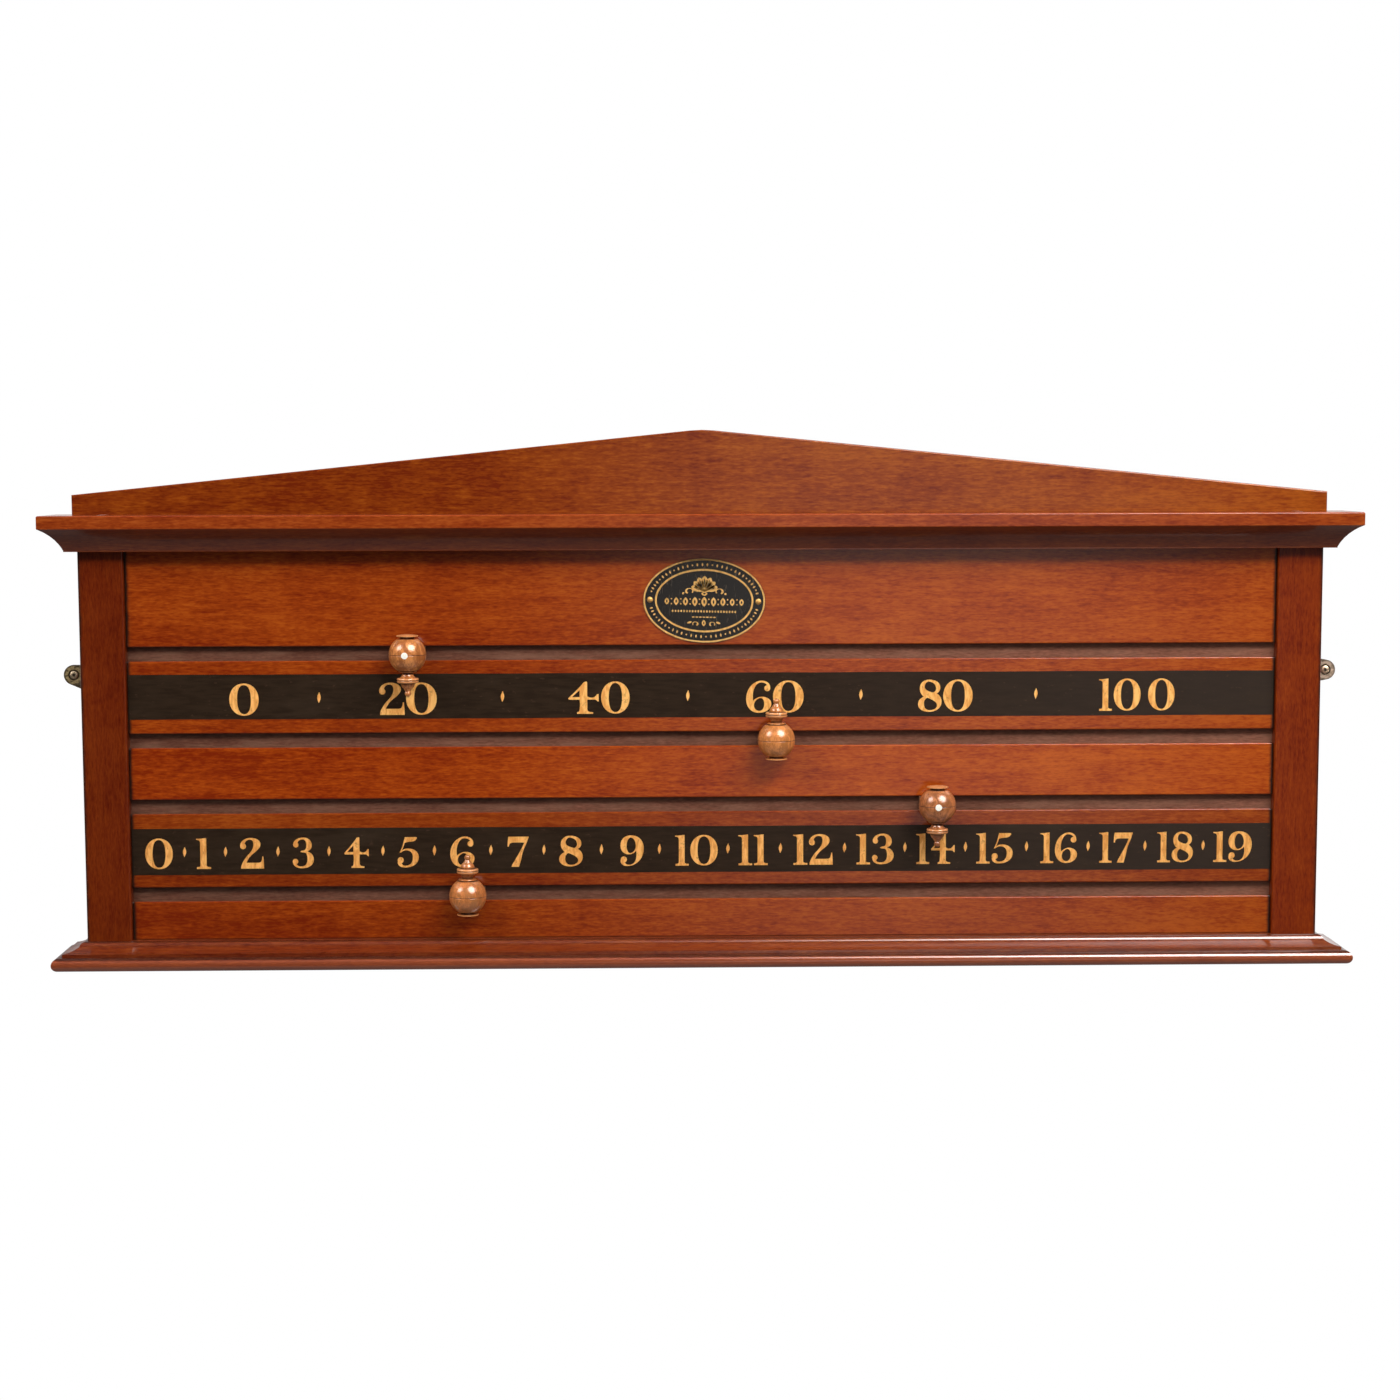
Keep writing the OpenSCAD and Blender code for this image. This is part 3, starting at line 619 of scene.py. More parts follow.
def upright(vector):
    """Turns the vector so that a grain along X runs up the piece."""
    return fed_node("Mapping", {"Vector": vector, "Rotation": (0.0, math.radians(90), 0.0)})[0]


def shade(colour, dark=SHADE_DARK, light=SHADE_LIGHT):
    """Dark, middle and light tone of one wood colour."""
    return [tuple(c * f for c, f in zip(colour, factor)) + (1.0,) for factor in (dark, (1, 1, 1), light)]


def mahogany(name, colour, seed, rise=False, bands=1.1, mottle=0.5, streaks=1.5, pores=0.4,
             gloss=0.40, bloom=0.12, coat=0.65, blur=0.12, coat_ior=1.5, fade=0.0, ends=None, marks=()):
    """Polished mahogany for one board, with a bare back."""
    material, shader, spot = new_material(name)
    normal = new_node(material.node_tree, "TexCoord")["Normal"]
    vector = upright(spot) if rise else spot
    dark, mid, light = shade(colour)
    wood = place_group("wood figure", Vector=vector, Seed=seed, Dark=dark, Mid=mid, Light=light,
                       Bands=bands, Mottle=mottle, Streaks=streaks, Pores=pores, Fade=fade)
    polish = place_group("old polish", Vector=vector, Gloss=gloss, Bloom=bloom,
                         Fibre=wood["Roughness"], Grain=wood["Height"])
    surface = wood["Color"]
    # Dark wax with painted shade towards the ends of the piece
    if ends:
        start, end = (ends + edge * MM for edge in BOARD_END_WAX_SHADE_REACH)
        surface = place_group("end wax and painted shade", Vector=spot, Normal=normal, Start=start, End=end,
                              Color=surface, Grime=BOARD_ENDS_WAX_AND_SHADE)["Color"]
    # Painted shade and painted light in strips between two heights
    for low, high, share, mark in marks:
        low, high = (base_z + level * MM for level in (low, high))
        surface = place_group("painted light and shade strip", Vector=spot, Low=low, High=high, Share=share,
                              Color=surface, Mark=mark)["Color"]
    wall = place_group("wall side", Normal=normal)["Mask"]
    raw = tint(BARE_SHARE, surface, BARE_WOOD)
    feed(shader.inputs["Coat Weight"], tint_number(wall, coat, 0.0))
    finish_shader(shader, tint(wall, surface, raw),
                  tint_number(wall, polish["Roughness"], BARE_ROUGH), polish["Height"], (0.55, 0.00006),
                  Coat_Roughness=blur, Coat_IOR=coat_ior, Specular_IOR_Level=0.1)
    return material


def dusty_wood(name, colour, seed, fade=0.0):
    """The floor of the slots and the hidden sliders: thin stain under years of dust."""
    material, shader, spot = new_material(name)
    dark, mid, light = shade(colour, (0.6, 0.55, 0.52), (1.7, 1.75, 1.8))
    wood = place_group("wood figure", Vector=spot, Seed=seed, Dark=dark, Mid=mid, Light=light,
                       Bands=0.9, Mottle=0.4, Streaks=1.1, Pores=0.3, Fade=fade)
    dust = spread(cloud(spot, (26, 160, 160), 5.0, 0.7), 0.42, 0.66, 0.0, 0.4)
    finish_shader(shader, tint(dust, wood["Color"], SLOT_DUST),
                  spread(dust, 0.0, 0.4, 0.55, 0.85), wood["Height"], (0.5, 0.00008),
                  Specular_IOR_Level=0.2)
    return material


def turned_lines_group():
    """Grooves, dark with dirt and painted shade, and worn rims of a pointer, by the distance along its axis
    from the middle of the ball.
    """
    get, put = new_group("turned lines", dict(vector="Vector", number="Level Tip"),
                         dict(number="Groove Rim"))
    above = minus(axes(get["Vector"])["Z"], get["Level"])
    along = times(above, get["Tip"])
    for socket, lines in (("Groove", POINTER_GROOVES), ("Rim", POINTER_RIMS)):
        total = 0.0
        for middle, half in lines:
            away = maths("ABSOLUTE", minus(along, middle * MM))
            line = spread(away, half * MM, (half + LINE_EDGE) * MM, 1.0, 0.0)
            total = maths("MAXIMUM", line, total)
        feed(put[socket], total)


def turned_wood(name, seed, level, tip, colour, stain):
    """A pointer: wood turned, stained unevenly and polished bright, dark in its grooves with dirt and
    painted shade.
    """
    material, shader, spot = new_material(name)
    vector = upright(spot)
    dark, mid, light = shade(colour, (0.42, 0.36, 0.36), (1.25, 1.35, 1.4))
    wood = place_group("wood figure", Vector=vector, Seed=seed, Dark=dark, Mid=mid, Light=light,
                       Bands=1.2, Mottle=0.7, Streaks=1.6, Pores=0.45)
    lines = place_group("turned lines", Vector=spot, Level=level * MM, Tip=tip)
    patches = cloud(spot, (130, 130, 95), 4.0, 0.65, 1.2)
    stained = tint(spread(patches, 0.44, 0.60, 0.0, 0.8), wood["Color"], stain)
    worn = tint(times(lines["Rim"], 0.55), stained, WORN_RIM)
    # Dirt in the grooves, and painted shade under the button, at the collar and in the neck
    dirty_and_shaded = tint(times(lines["Groove"], 0.85), worn, DIRT_AND_SHADE_IN_GROOVES)
    finish_shader(shader, dirty_and_shaded, spread(wood["Roughness"], 0.0, 0.3, 0.3, 0.45),
                  wood["Height"], (0.3, 0.00004),
                  Specular_IOR_Level=0.3, Coat_Weight=0.72, Coat_Roughness=0.19, Coat_IOR=1.48)
    return material


def band_paint(name):
    """Black paint on wood grain: brown-black, with rubbed specks and faint streaks along the grain."""
    material, shader, vector = new_material(name)
    streaks = cloud(vector, (60, 420, 420), 4.0, 0.65)
    specks = spread(cloud(vector, (240, 520, 520), 2.0), 0.66, 0.74, 0.0, 0.35)
    rubbed = spread(cloud(vector, (9, 50, 50), 4.0, 0.65, 0.5), 0.52, 0.72, 0.0, 0.4)
    black = tint(spread(streaks, 0.35, 0.65), *BAND_BLACK)
    # Painted light: the black is painted lighter towards the right, where the light falls stronger.
    lit_side_share = spread(axes(vector)["X"], -0.15, 0.42, 0.0, 0.6)
    lit_side_black = tint(lit_side_share, black, BAND_LIT_SIDE)
    worn = tint(rubbed, lit_side_black, BAND_RUBBED)
    specked = tint(specks, worn, BAND_SPECKS)
    # Dark wax with painted shade at the band's ends, beside the stiles
    start, end = (board_end + edge * MM for edge in BAND_END_WAX_SHADE_REACH)
    normal = new_node(material.node_tree, "TexCoord")["Normal"]
    waxed_and_shaded = place_group("end wax and painted shade", Vector=vector, Normal=normal, Start=start, End=end,
                        Color=specked, Grime=BAND_ENDS_WAX_AND_SHADE)
    finish_shader(shader, waxed_and_shaded["Color"], spread(streaks, 0.3, 0.7, 0.38, 0.5), streaks,
                  (0.4, 0.00008), Specular_IOR_Level=0.15)
    return material


def gilt_paint(name, bright, dull, metal):
    """Gold laid by hand: brush streaks, thin places where the ground shows through."""
    material, shader, vector = new_material(name)
    strokes = cloud(vector, (380, 380, 95), 3.0, 0.6, 0.6)
    thin = spread(cloud(vector, (300, 300, 300), 4.0, 0.7), 0.56, 0.70, 0.0, 0.7)
    gold = tint(spread(strokes, 0.36, 0.64), dull, bright)
    under = tuple(c * THIN_GOLD for c in dull[:3]) + (1,)
    finish_shader(shader, tint(thin, gold, under), spread(strokes, 0.3, 0.7, 0.62, 0.5),
                  strokes, (0.5, 0.00006), Metallic=metal)
    return material


def enamel(name):
    """Black enamel of the oval plate: deep gloss with a few fine scuffs."""
    material, shader, vector = new_material(name)
    scuffs = spread(cloud(vector, (500, 500, 90), 3.0, 0.6, 1.0), 0.58, 0.7)
    worn = tint(scuffs, *ENAMEL)
    finish_shader(shader, worn, spread(scuffs, 0.0, 1.0, 0.22, 0.5),
                  cloud(vector, (60, 60, 60), 2.0), (0.3, 0.00008))
    return material


def old_metal(name, clean, tarnish, rough, size, metal=0.85):
    """Brass or steel with tarnish in patches of a size in cycles per metre, fine scratches and pits."""
    material, shader, vector = new_material(name)
    patches = spread(cloud(vector, (size, size, size), 5.0, 0.65, 0.6), 0.42, 0.62)
    scratches = cloud(vector, (2600, 400, 700), 2.0, 0.6, 0.4)
    dull = spread(patches, 0.0, 1.0, rough, rough + 0.25)
    dull = plus(spread(scratches, 0.3, 0.7, 0.0, 0.2), dull)
    finish_shader(shader, tint(patches, clean, tarnish), dull,
                  minus(scratches, patches), (0.4, 0.00005), Metallic=metal)
    return material


def from_hanging_hole(tree, side):
    """How far a point lies from the axis of one hanging hole."""
    flat = stretch(new_node(tree, "TexCoord")["Object"], (1.0, 0.0, 1.0))
    return distance_from(flat, (side * HANG_X * MM, 0.0, 0.0))


def lay_darkening(material, darkening, colour):
    """Lays a darker colour over the colour of a finished material."""
    base = material.node_tree.nodes["Principled BSDF"].inputs["Base Color"]
    feed(base, tint(darkening, base.links[0].from_socket, colour))


def head_metal(name, side, clean, tarnish):
    """A wall screw's head, darkened in the middle of its cross."""
    material = old_metal(name, clean, tarnish, rough=0.33, size=700.0)
    tree = material.node_tree
    full, outer = (edge * MM for edge in CROSS_DARK_REACH)
    # Darker in the middle of the cross
    darkening = spread(from_hanging_hole(tree, side), full, outer, 0.92, 0.0)
    lay_darkening(material, darkening, CROSS_DARK_COLOUR)
    feed(tree.nodes["Principled BSDF"].inputs["Metallic"], minus(0.85, times(darkening, 0.7)))
    return material


def plate_metal(name, side, clean, tarnish):
    """A hanging plate: old brass, with painted shade in the countersink round the screw head, and darker
    towards its rim.
    """
    material = old_metal(name, clean, tarnish, rough=0.42, size=330.0, metal=0.5)
    tree = material.node_tree
    reach = from_hanging_hole(tree, side)
    start, full, thin, end = (edge * MM for edge in COUNTERSINK_SHADE)
    near, far = (edge * MM for edge in PLATE_RIM_DARK_REACH)
    # Painted shade in the countersink round the screw head
    edge = times(spread(reach, start, full), spread(reach, thin, end, 1.0, 0.0))
    rim = spread(reach, near, far, 0.0, 0.75)
    lay_darkening(material, maths("MAXIMUM", edge, rim), PLATE_DARK_AND_SHADE)
    return material


def ivory(name):
    """Polished ivory with faint warm lines."""
    material, shader, vector = new_material(name)
    lines = cloud(vector, (900, 300, 900), 3.0, 0.5, 0.5)
    warm = tint(spread(lines, 0.35, 0.65), *IVORY)
    finish_shader(shader, warm, spread(lines, 0.3, 0.7, 0.22, 0.34), lines, (0.2, 0.00003))
    return material


def make_groups():
    for make in (wood_figure_group, polish_group, end_wax_and_shade_group, painted_strip_group, back_group, turned_lines_group):
        make()


def dress(node, material):
    """Gives a frame node its finish."""
    slots = frame["nodes"][node].data.materials
    slots.clear()
    slots.append(material)


def dress_frame():
    """One board's wood after another, then the fittings."""
    end = board_end
    wet = dict(coat=1.0, blur=0.15, coat_ior=1.75, streaks=2.2, marks=BASE_PAINTED_LIGHT_AND_SHADE)
    stile = dict(rise=True, ends=stile_end)
    # Each piece: colour, seed and finish. The value that tilts the tone along X paints the wood lighter
    # towards the right, where the light falls stronger: painted light. The left stile and the left returns
    # of the cornice and the base are given darker colours than the right ones: painted shade on the left,
    # painted light on the right.
    boards = (
        ("top_rail", (0.285, 0.0405, 0.0020), (1.3, 0.2, 0.4), dict(fade=0.35, ends=end)),
        ("hundreds_board", (0.276, 0.0390, 0.0018), (4.1, 1.2, 3.4), dict(fade=0.45, ends=end)),
        ("middle_rail", (0.318, 0.0450, 0.0018), (7.9, 2.2, 5.1), dict(fade=0.5, ends=end)),
        ("units_board", (0.222, 0.0325, 0.0020), (2.6, 3.3, 8.2), dict(fade=0.22, ends=end)),
        ("bottom_rail", (0.270, 0.0385, 0.0018), (9.2, 4.7, 6.6),
         dict(fade=0.55, ends=end, marks=RAIL_FOOT_PAINTED_SHADE)),
        ("pediment", (0.222, 0.0385, 0.0016), (5.5, 5.9, 2.3), dict(fade=0.5, mottle=0.9, streaks=1.9)),
        ("cornice_front", (0.258, 0.0390, 0.0040), (3.7, 6.1, 7.4), dict(fade=0.1, marks=COVE_PAINTED_SHADE)),
        ("cornice_left", (0.220, 0.0310, 0.0028), (6.4, 7.5, 1.9), dict(marks=COVE_PAINTED_SHADE)),
        ("cornice_right", (0.240, 0.0340, 0.0030), (8.8, 8.1, 4.5), dict(marks=COVE_PAINTED_SHADE)),
        ("base_moulding_front", (0.158, 0.0240, 0.0030), (1.1, 9.4, 5.8), dict(fade=0.3, **wet)),
        ("base_moulding_left", (0.110, 0.0200, 0.0040), (2.2, 3.8, 9.7), dict(coat=0.25, marks=BASE_PAINTED_LIGHT_AND_SHADE)),
        ("base_moulding_right", (0.180, 0.0300, 0.0050), (7.3, 2.9, 3.1), wet),
        ("left_stile", (0.126, 0.0145, 0.0008), (4.6, 1.7, 2.8), dict(mottle=1.0, **stile)),
        ("right_stile", (0.178, 0.0205, 0.0008), (5.9, 6.3, 4.2), dict(mottle=0.9, **stile)),
        ("base_board", (0.190, 0.0330, 0.0080), (3.4, 8.6, 1.5), {}),
        ("cap_board", (0.190, 0.0330, 0.0080), (6.7, 4.4, 7.7), {}),
    )
    for node, colour, seed, look in boards:
        dress(node, mahogany("mahogany " + node.replace("_", " "), colour, seed, **look))
    # The slot floor is also tilted lighter towards the right by its last value: painted light.
    dress("backboard", dusty_wood("dusty slot floor", (0.150, 0.058, 0.035), (2.4, 5.2, 6.8), 0.75))
    slider = dusty_wood("dusty slider wood", (0.190, 0.085, 0.045), (8.1, 1.4, 3.9))
    steel = old_metal("dulled screw steel", *SCREW_STEEL, rough=0.38, size=900.0)
    brass = plate_metal("aged brass", -1, *AGED_BRASS)
    pale_brass = plate_metal("rubbed brass", 1, *RUBBED_BRASS)
    pin = old_metal("gilt pin brass", *PIN_BRASS, rough=0.38, size=700.0, metal=0.7)
    spot = ivory("old ivory")
    for pointer, (level, tip, seed, colour, stain) in POINTERS.items():
        name = "turned wood " + pointer.replace("_", " ")
        dress(pointer + "_knob", turned_wood(name, seed, level, tip, colour, stain))
        dress(pointer + "_slider", slider)
        dress(pointer + "_screw", steel)
        if pointer.endswith("spot"):
            dress(pointer + "_ivory", spot)
    for node in ("rail_screws", "cap_screws", "base_screws", "pediment_screws"):
        dress(node, steel)
    for node in ("hanging_plate_left", "hanging_plate_screws"):
        dress(node, brass)
    dress("hanging_plate_right", pale_brass)
    dress("oval_plate", enamel("black enamel"))
    dress("oval_plate_pins", pin)


def painted_band(name, edges, material):
    """A black band from stile to stile, its edges cut in by hand."""
    low, high = (base_z + edge * MM for edge in edges)
    left, right = -board_end, board_end
    mesh = bmesh.new()
    rows = []
    for i in range(BAND_STEPS + 1):
        x = left + (right - left) * i / BAND_STEPS
        sway = [BAND_WAVE * MM * noise.noise(Vector((x * BAND_WAVES, edge, BAND_SEED))) for edge in edges]
        near = [mesh.verts.new((x, face_y - PAINT * MM, z)) for z in (low + sway[0], high + sway[1])]
        far = [mesh.verts.new((x, face_y, v.co.z)) for v in near]
        rows.append(near + far)
    for a, b in zip(rows, rows[1:]):
        for i, j in ((0, 1), (3, 2), (1, 3), (2, 0)):
            mesh.faces.new((a[i], b[i], b[j], a[j]))
    for end, corners in ((rows[0], (0, 1, 3, 2)), (rows[-1], (2, 3, 1, 0))):
        mesh.faces.new([end[i] for i in corners])
    finish_painted(name, mesh, material)


def draw_digits(mesh, digits, left, right, middle, height, front, back):
    """Sets one or more digits side by side between two edges."""
    gap = LETTER_GAP * (len(digits) - 1)
    natural = sum(DIGITS[d][0] for d in digits) * height / 100
    squeeze = (right - left - gap) / natural
    x = left
    for digit in digits:
        width, solids, cuts, ends = DIGITS[digit]
        across = height / 100 * squeeze
        start = x

        def place(p):
            spot = start + p.x * across
            return spot * MM, base_z + (middle + ROW_RISE * spot + (p.y / 100 - 0.5) * height) * MM

        shapes = [corner_points(s) for s in solids]
        shapes += [oval(cx, cz, r / max(squeeze, 0.5), r, 14) for cx, cz, r in ends]
        slab(mesh, fill(shapes, [corner_points(c) for c in cuts]), place, front, back)
        x += width * across + LETTER_GAP


def number_row(name, row, middle, height, lozenge_half, material):
    """The gilt numbers of one row, with a lozenge halfway between neighbours."""
    mesh = bmesh.new()
    back = face_y - PAINT * MM
    front = back - GOLD * MM
    for number in row:
        for digits, left, right in number:
            draw_digits(mesh, digits, left, right, middle, height, front, back)
    for first, second in zip(row, row[1:]):
        x = (first[-1][2] + second[0][1]) / 2
        z = middle + LOZENGE_LIFT + ROW_RISE * x

        def place(p):
            return (x + p.x) * MM, base_z + (z + p.y) * MM

        mark = lozenge(0, 0, *lozenge_half, turn=math.radians(LOZENGE_TURN), bow=LOZENGE_BOW)
        slab(mesh, fill([mark]), place, front, back)
    finish_painted(name, mesh, material)


def ring(half, width, count=96):
    """An oval ring as a solid and a cut outline."""
    wide, high = half
    return oval(0, 0, wide, high, count), oval(0, 0, wide - width, high - width, count)


def rim_beads():
    """Lozenges and dots between the rim and the ring, with room for the pins."""
    track_x, track_z = ((outer - RIM_WIDTH + inner) / 2 for outer, inner in zip(PLATE_HALF, RING_HALF))
    shapes = []
    for i in range(BEADS):
        angle = math.tau * (i + 0.5) / BEADS
        x, z = track_x * math.cos(angle), track_z * math.sin(angle)
        if abs(z) < PIN_ROOM:
            continue
        lean = math.atan2(z / track_z ** 2, x / track_x ** 2) - math.pi / 2
        shapes.append([lozenge(x, z, *BEAD_HALF, lean) if i % 4 < 3 else oval(x, z, *BEAD_DOT, 10)])
    return shapes


def palmette():
    """Seven petals with cut veins over a small boss, and a scroll and a dot at each side."""
    foot = Vector((0, PALMETTE_FOOT))
    shapes = []
    for turn, reach in PETALS:
        spin = Matrix.Rotation(math.radians(turn), 2)
        petal = [foot + spin @ p for p in leaf(PETAL_WIDE, reach)]
        start = foot + spin @ Vector((0, reach * 0.28))
        shapes.append([petal, [start + spin @ p for p in leaf(VEIN_WIDE, reach * 0.55)]])
    for side in (-1, 1):
        shapes.append([crescent(side * 11.2, 6.9, 3.1, side)])
        shapes.append([oval(side * 15.6, 5.2, 0.8, 0.8, 12)])
    shapes.append([oval(0, 5.2, 2.2, 1.5, 20), oval(0, 5.2, 0.9, 0.55, 12)])
    return shapes


def middle_rows():
    """A row of pierced lozenges with dots between, a row of pearls and a row of dashes."""
    shapes = []
    for i in range(-4, 5):
        x, tall = i * ROW_STEP, 3.7 - 0.28 * abs(i)
        shapes.append([lozenge(x, ROW_HEIGHT, 2.1 - 0.1 * abs(i), tall),
                       lozenge(x, ROW_HEIGHT, 0.6, tall * 0.45)])
    for i in range(-4, 4):
        shapes += [[oval((i + 0.5) * ROW_STEP, z, 0.55, 0.55, 10)] for z in ROW_BEAD_HEIGHTS]
    shapes += [[oval(i * PEARL_STEP, PEARL_HEIGHT, 0.62, 0.9, 12)] for i in range(-11, 12)]
    flat = math.radians(90)
    return shapes + [[lozenge(i * DASH_STEP, DASH_HEIGHT, 0.5, 1.15, flat)] for i in range(-3, 4)]


def foot_scrolls():
    """Two scrolls and two slanting leaves round a pierced lozenge."""
    shapes = []
    for side in (-1, 1):
        shapes.append([crescent(side * 6.2, -17.2, 2.3, -side)])
        shapes.append([lozenge(side * 10.6, -16.2, 0.8, 1.9, math.radians(side * 72))])
    return shapes + [[lozenge(0, -16.6, 1.5, 2.4), lozenge(0, -16.6, 0.5, 1.0)]]


def plate_shapes():
    """The gilt decoration of the oval plate: each shape is a solid outline and then its cuts."""
    rim = ring([half - RIM_INSET for half in PLATE_HALF], RIM_WIDTH - RIM_INSET)
    return [rim, ring(RING_HALF, RING_WIDTH)] + rim_beads() + palmette() + middle_rows() + foot_scrolls()


def leaf(half_wide, reach):
    """A petal that starts at a point, swells near its tip and closes round."""
    share = [0.0, 0.25, 0.5, 0.7, 0.85, 0.95]
    width = [half_wide * math.sin(math.pi * s ** 1.7) ** 0.8 * 0.95 + 0.12 for s in share]
    right = [Vector((w, reach * s)) for w, s in zip(width, share)]
    left = [Vector((-p.x, p.y)) for p in right[::-1]]
    return right + [Vector((0, reach))] + left


def crescent(x, z, r, side):
    """A curled scroll: a wide arc outside, a smaller and shifted arc inside."""
    outer = [math.radians(a) for a in range(-60, 231, 20)]
    inner = outer[::-1]
    points = [Vector((x + side * r * math.cos(a), z + r * math.sin(a) * 0.75)) for a in outer]
    points += [Vector((x + side * (r * 0.62 * math.cos(a) - r * 0.1), z + r * 0.5 * math.sin(a) + r * 0.05))
               for a in inner]
    return points


def plate_gilding(material):
    """Raised gilt on the oval plate: rim, ring, beads, palmette, lozenges and scrolls."""
    low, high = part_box("oval_plate")
    middle = (low + high) / 2
    spin = Matrix.Rotation(math.radians(PLATE_TURN), 2)
    back = low.y + GOLD_SUNK * MM
    front = low.y - GOLD * MM
    mesh = bmesh.new()

    def place(p):
        turned = spin @ p
        return middle.x + turned.x * MM, middle.z + turned.y * MM

    for solid, *cuts in plate_shapes():
        slab(mesh, fill([solid], cuts), place, front, back)
    finish_painted("oval_plate_gilding", mesh, material)


def cross_recess():
    """Two tapered arms that cut the driver recess, on the axis of a head that looks along Z."""
    mesh = bmesh.new()
    for turn in CROSS_TURNS:
        spin = Matrix.Rotation(math.radians(turn), 4, "Z")
        for v in bmesh.ops.create_cube(mesh, size=1.0)["verts"]:
            narrow, level = (CROSS_TAPER, CROSS_FOOT) if v.co.z < 0 else (1.0, CROSS_TOP)
            v.co = spin @ Vector((v.co.x * CROSS_ARM * narrow, v.co.y * CROSS_WIDE * narrow, level))
    return mesh


def screw_head_mesh():
    """A raised countersunk head on its shank: a turned profile, its face up along Z."""
    full = 40
    arc = [math.radians(a) for a in range(0, 91, 15)]
    profile = [(WALL_HEAD_R * math.sin(a), WALL_HEAD_DOME * math.cos(a)) for a in arc]
    profile += [(WALL_HEAD_R, -WALL_HEAD_RIM)]
    profile += [(WALL_SHANK_R, -depth) for depth in (WALL_HEAD_CONE, WALL_HEAD_BACK)]
    mesh = bmesh.new()
    top = mesh.verts.new((0, 0, profile[0][1]))
    angles = [math.tau * i / full for i in range(full)]
    rings = [[mesh.verts.new((r * math.cos(a), r * math.sin(a), z)) for a in angles] for r, z in profile[1:]]
    for i in range(full):
        j = (i + 1) % full
        mesh.faces.new((top, rings[0][i], rings[0][j]))
        for upper, lower in zip(rings, rings[1:]):
            mesh.faces.new((upper[i], lower[i], lower[j], upper[j]))
    mesh.faces.new(rings[-1][::-1])
    return mesh


def wall_screw(name, side, material, recess):
    """One cross-head screw in a hanging plate, its shank cut off level with the wall."""
    piece = object_from(name, screw_head_mesh())
    cutter = object_from(name + "_cutter", cross_recess())
    step = piece.modifiers.new("recess", "BOOLEAN")
    step.operation = "DIFFERENCE"
    step.solver = "EXACT"
    step.use_self = True
    step.object = cutter
    graph = bpy.context.evaluated_depsgraph_get()
    cut_mesh = bpy.data.meshes.new_from_object(piece.evaluated_get(graph))
    piece.modifiers.clear()
    piece.data = cut_mesh
    bpy.data.objects.remove(cutter)
    for face in cut_mesh.polygons:
        reach = math.hypot(face.center.x, face.center.y) / WALL_HEAD_R
        dome = WALL_HEAD_DOME * math.sqrt(max(0.0, 1 - reach * reach))
        inside = CROSS_FOOT - FACE_ROOM < face.center.z < dome - FACE_SUNK and reach < FACE_REACH
        face.material_index = 1 if inside else 0
    spot = Matrix.Translation((side * HANG_X * MM, -WALL_HEAD_BACK * MM, 0))
    cut_mesh.transform(spot @ Matrix.Rotation(math.radians(90), 4, "X") @ Matrix.Scale(MM, 4))
    cut_mesh.materials.clear()
    cut_mesh.materials.append(material)
    cut_mesh.materials.append(recess)
    cut_mesh.shade_smooth()
    cut_mesh.set_sharp_from_angle(angle=math.radians(SHARP_EDGE))
    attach(piece, "case")


def set_camera():
    bpy.context.scene.view_settings.view_transform = "Standard"
    data = bpy.data.cameras.new("camera")
    data.lens = CAMERA_LENS
    data.shift_y = LENS_RISE
    data.sensor_width = 36.0
    data.clip_start = 0.05
    data.clip_end = 60.0
    camera = put_in_scene("camera", data)
    turn = Matrix.Rotation(math.radians(-CAMERA_TURN), 4, "Z")
    dip = Matrix.Rotation(math.radians(90 + CAMERA_DIP), 4, "X")
    roll = Matrix.Rotation(math.radians(CAMERA_ROLL), 4, "Z")
    camera.matrix_world = Matrix.Translation(CAMERA_PLACE) @ turn @ dip @ roll
    bpy.context.scene.camera = camera


def set_lights():
    """Two long lamps, each in a direction from the middle of the board and facing it."""
    for name, (towards, distance, size, power) in LAMPS.items():
        data = bpy.data.lights.new(name, "AREA")
        data.shape = "RECTANGLE"
        data.size, data.size_y = size
        data.energy = power
        lamp = put_in_scene(name, data)
        away = Vector(towards).normalized()
        lamp.location = away * distance
        lamp.rotation_euler = away.to_track_quat("Z", "Y").to_euler()
        lamp.visible_glossy = False


def set_world():
    """White behind for the camera and for reflections, dim in front, and an even fill on the object."""
    world = bpy.data.worlds.new("pale studio")
    bpy.context.scene.world = world
    world.use_nodes = True
    tree = world.node_tree
    tree.nodes.clear()
    rays = new_node(tree, "LightPath")
    direction = new_node(tree, "TexCoord")["Generated"]
    parts = axes(direction)
    behind = times(spread(parts["Y"], -0.1, 0.8, 0.02, 1.0), spread(parts["Z"], 0.08, 0.45, 1.0, 0.1))
    overhead = spread(parts["Z"], 0.3, 0.95, 0.0, 0.12)
    towards, near, far, strength = SHEEN
    sheen = distance_from(stretch(direction, (1.0, 1.0, SHEEN_TALL)), towards)
    patch = spread(sheen, near, far, strength, 0.0)
    around = maths("MAXIMUM", maths("MAXIMUM", behind, overhead), patch)
    first_bounce = maths("LESS_THAN", rays["Diffuse Depth"], 0.5)
    for towards, strength, near, far in GLINTS:
        glint = spread(distance_from(direction, towards), near, far, strength, 0.0)
        around = plus(around, times(glint, first_bounce))
    mirrored = maths("MAXIMUM", rays["Is Glossy Ray"], rays["Is Transmission Ray"])
    even = spread(parts["Z"], -0.1, 0.85, FILL_BELOW, FILL_ABOVE)
    level = tint_number(mirrored, even, around)
    shown = tint_number(rays["Is Camera Ray"], level, 1.0)
    glow = fed_node("Background", {"Color": WHITE, "Strength": shown})[0]
    fed_node("OutputWorld", {"Surface": glow})


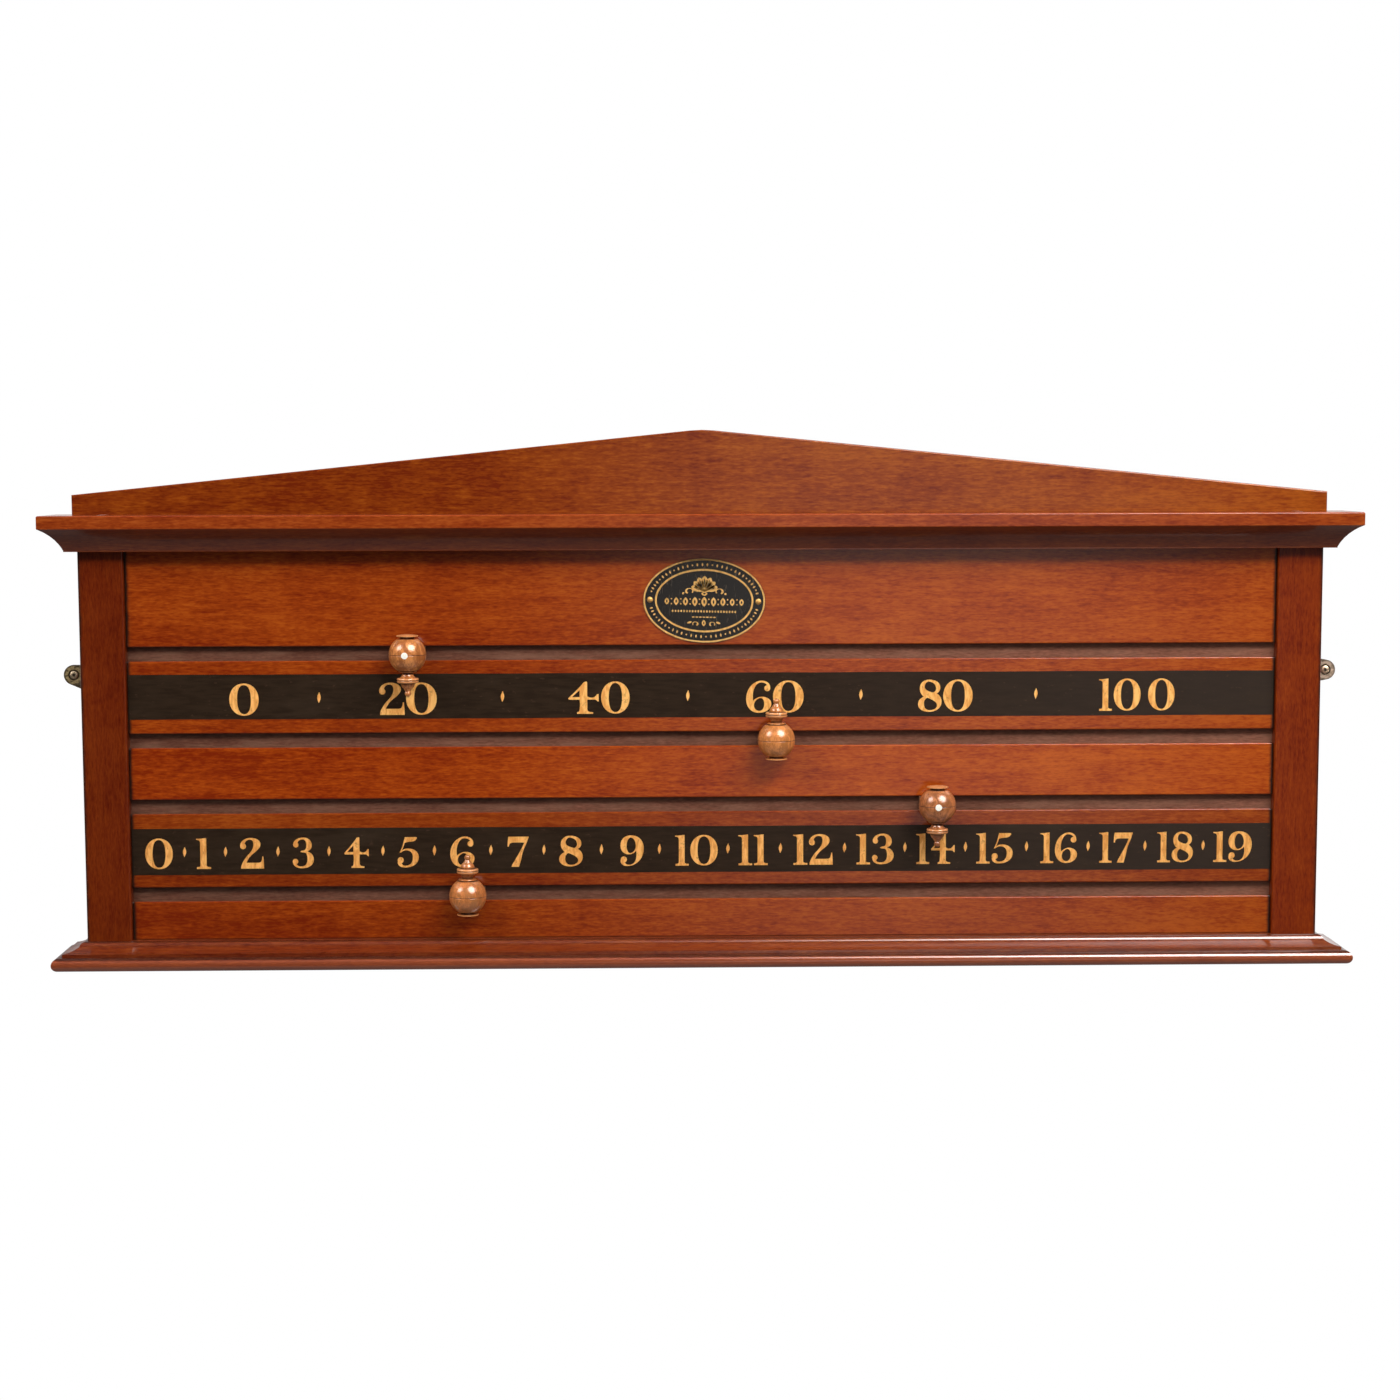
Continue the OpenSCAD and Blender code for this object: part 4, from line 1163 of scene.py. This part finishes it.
def floor_material():
    """Pale floor: it keeps shadows near the board and fades to white towards its rim."""
    material = bpy.data.materials.new("pale floor")
    material.use_nodes = True
    tree = material.node_tree
    tree.nodes.clear()
    rays = new_node(tree, "LightPath")
    away = distance_from(new_node(tree, "TexCoord")["Object"], (0.0, 0.0, 0.0))
    rim = spread(away, *(FLOOR_REACH * share for share in FLOOR_FADE))
    tone = tint(rays["Is Glossy Ray"], FLOOR_TONE, FLOOR_MIRRORED)
    plain = fed_node("BsdfDiffuse", {"Color": tone})[0]
    lift = times(rays["Is Camera Ray"], FLOOR_LIFT)
    lifted = fed_node("Emission", {"Color": WHITE, "Strength": lift})[0]
    lit = fed_node("AddShader", {0: plain, 1: lifted})[0]
    white = new_node(tree, "Emission", {"Color": WHITE})[0]
    faded = times(rim, rays["Is Camera Ray"])
    mixed = fed_node("MixShader", {0: faded, 1: lit, 2: white})[0]
    fed_node("OutputMaterial", {"Surface": mixed})
    return material


def set_floor():
    mesh = bmesh.new()
    bmesh.ops.create_circle(mesh, cap_ends=True, radius=FLOOR_REACH, segments=96)
    floor = object_from("floor", mesh)
    floor.location = (0, 0, base_z - FLOOR_DROP)
    floor.data.materials.append(floor_material())


clear_scene()
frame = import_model()
face_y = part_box("hundreds_board")[0].y
board_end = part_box("hundreds_board")[1].x
stile_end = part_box("right_stile")[1].x
base_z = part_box("base_board")[0].z

set_camera()
set_lights()
set_world()
set_floor()

make_groups()
dress_frame()
band_black = band_paint("black band paint")
hundreds_gold = gilt_paint("hundreds gold", *HUNDREDS_GOLD, metal=0.08)
units_gold = gilt_paint("units gold", *UNITS_GOLD, metal=0.08)
plate_gold = gilt_paint("plate gold", *PLATE_GOLD, metal=0.45)
painted_band("hundreds_band", HUNDREDS_BAND, band_black)
painted_band("units_band", UNITS_BAND, band_black)
number_row("hundreds_numbers", HUNDREDS, HUNDREDS_MIDDLE, HUNDREDS_HEIGHT, HUNDREDS_LOZENGE, hundreds_gold)
number_row("units_numbers", UNITS, UNITS_MIDDLE, UNITS_HEIGHT, UNITS_LOZENGE, units_gold)
plate_gilding(plate_gold)
left_steel = head_metal("dull screw steel", -1, *LEFT_HEAD)
right_steel = head_metal("yellowed screw steel", 1, *RIGHT_HEAD)
recess_dark = old_metal("dark recess", *RECESS, rough=0.6, size=900.0, metal=0.2)
wall_screw("wall_screw_left", -1, left_steel, recess_dark)
wall_screw("wall_screw_right", 1, right_steel, recess_dark)
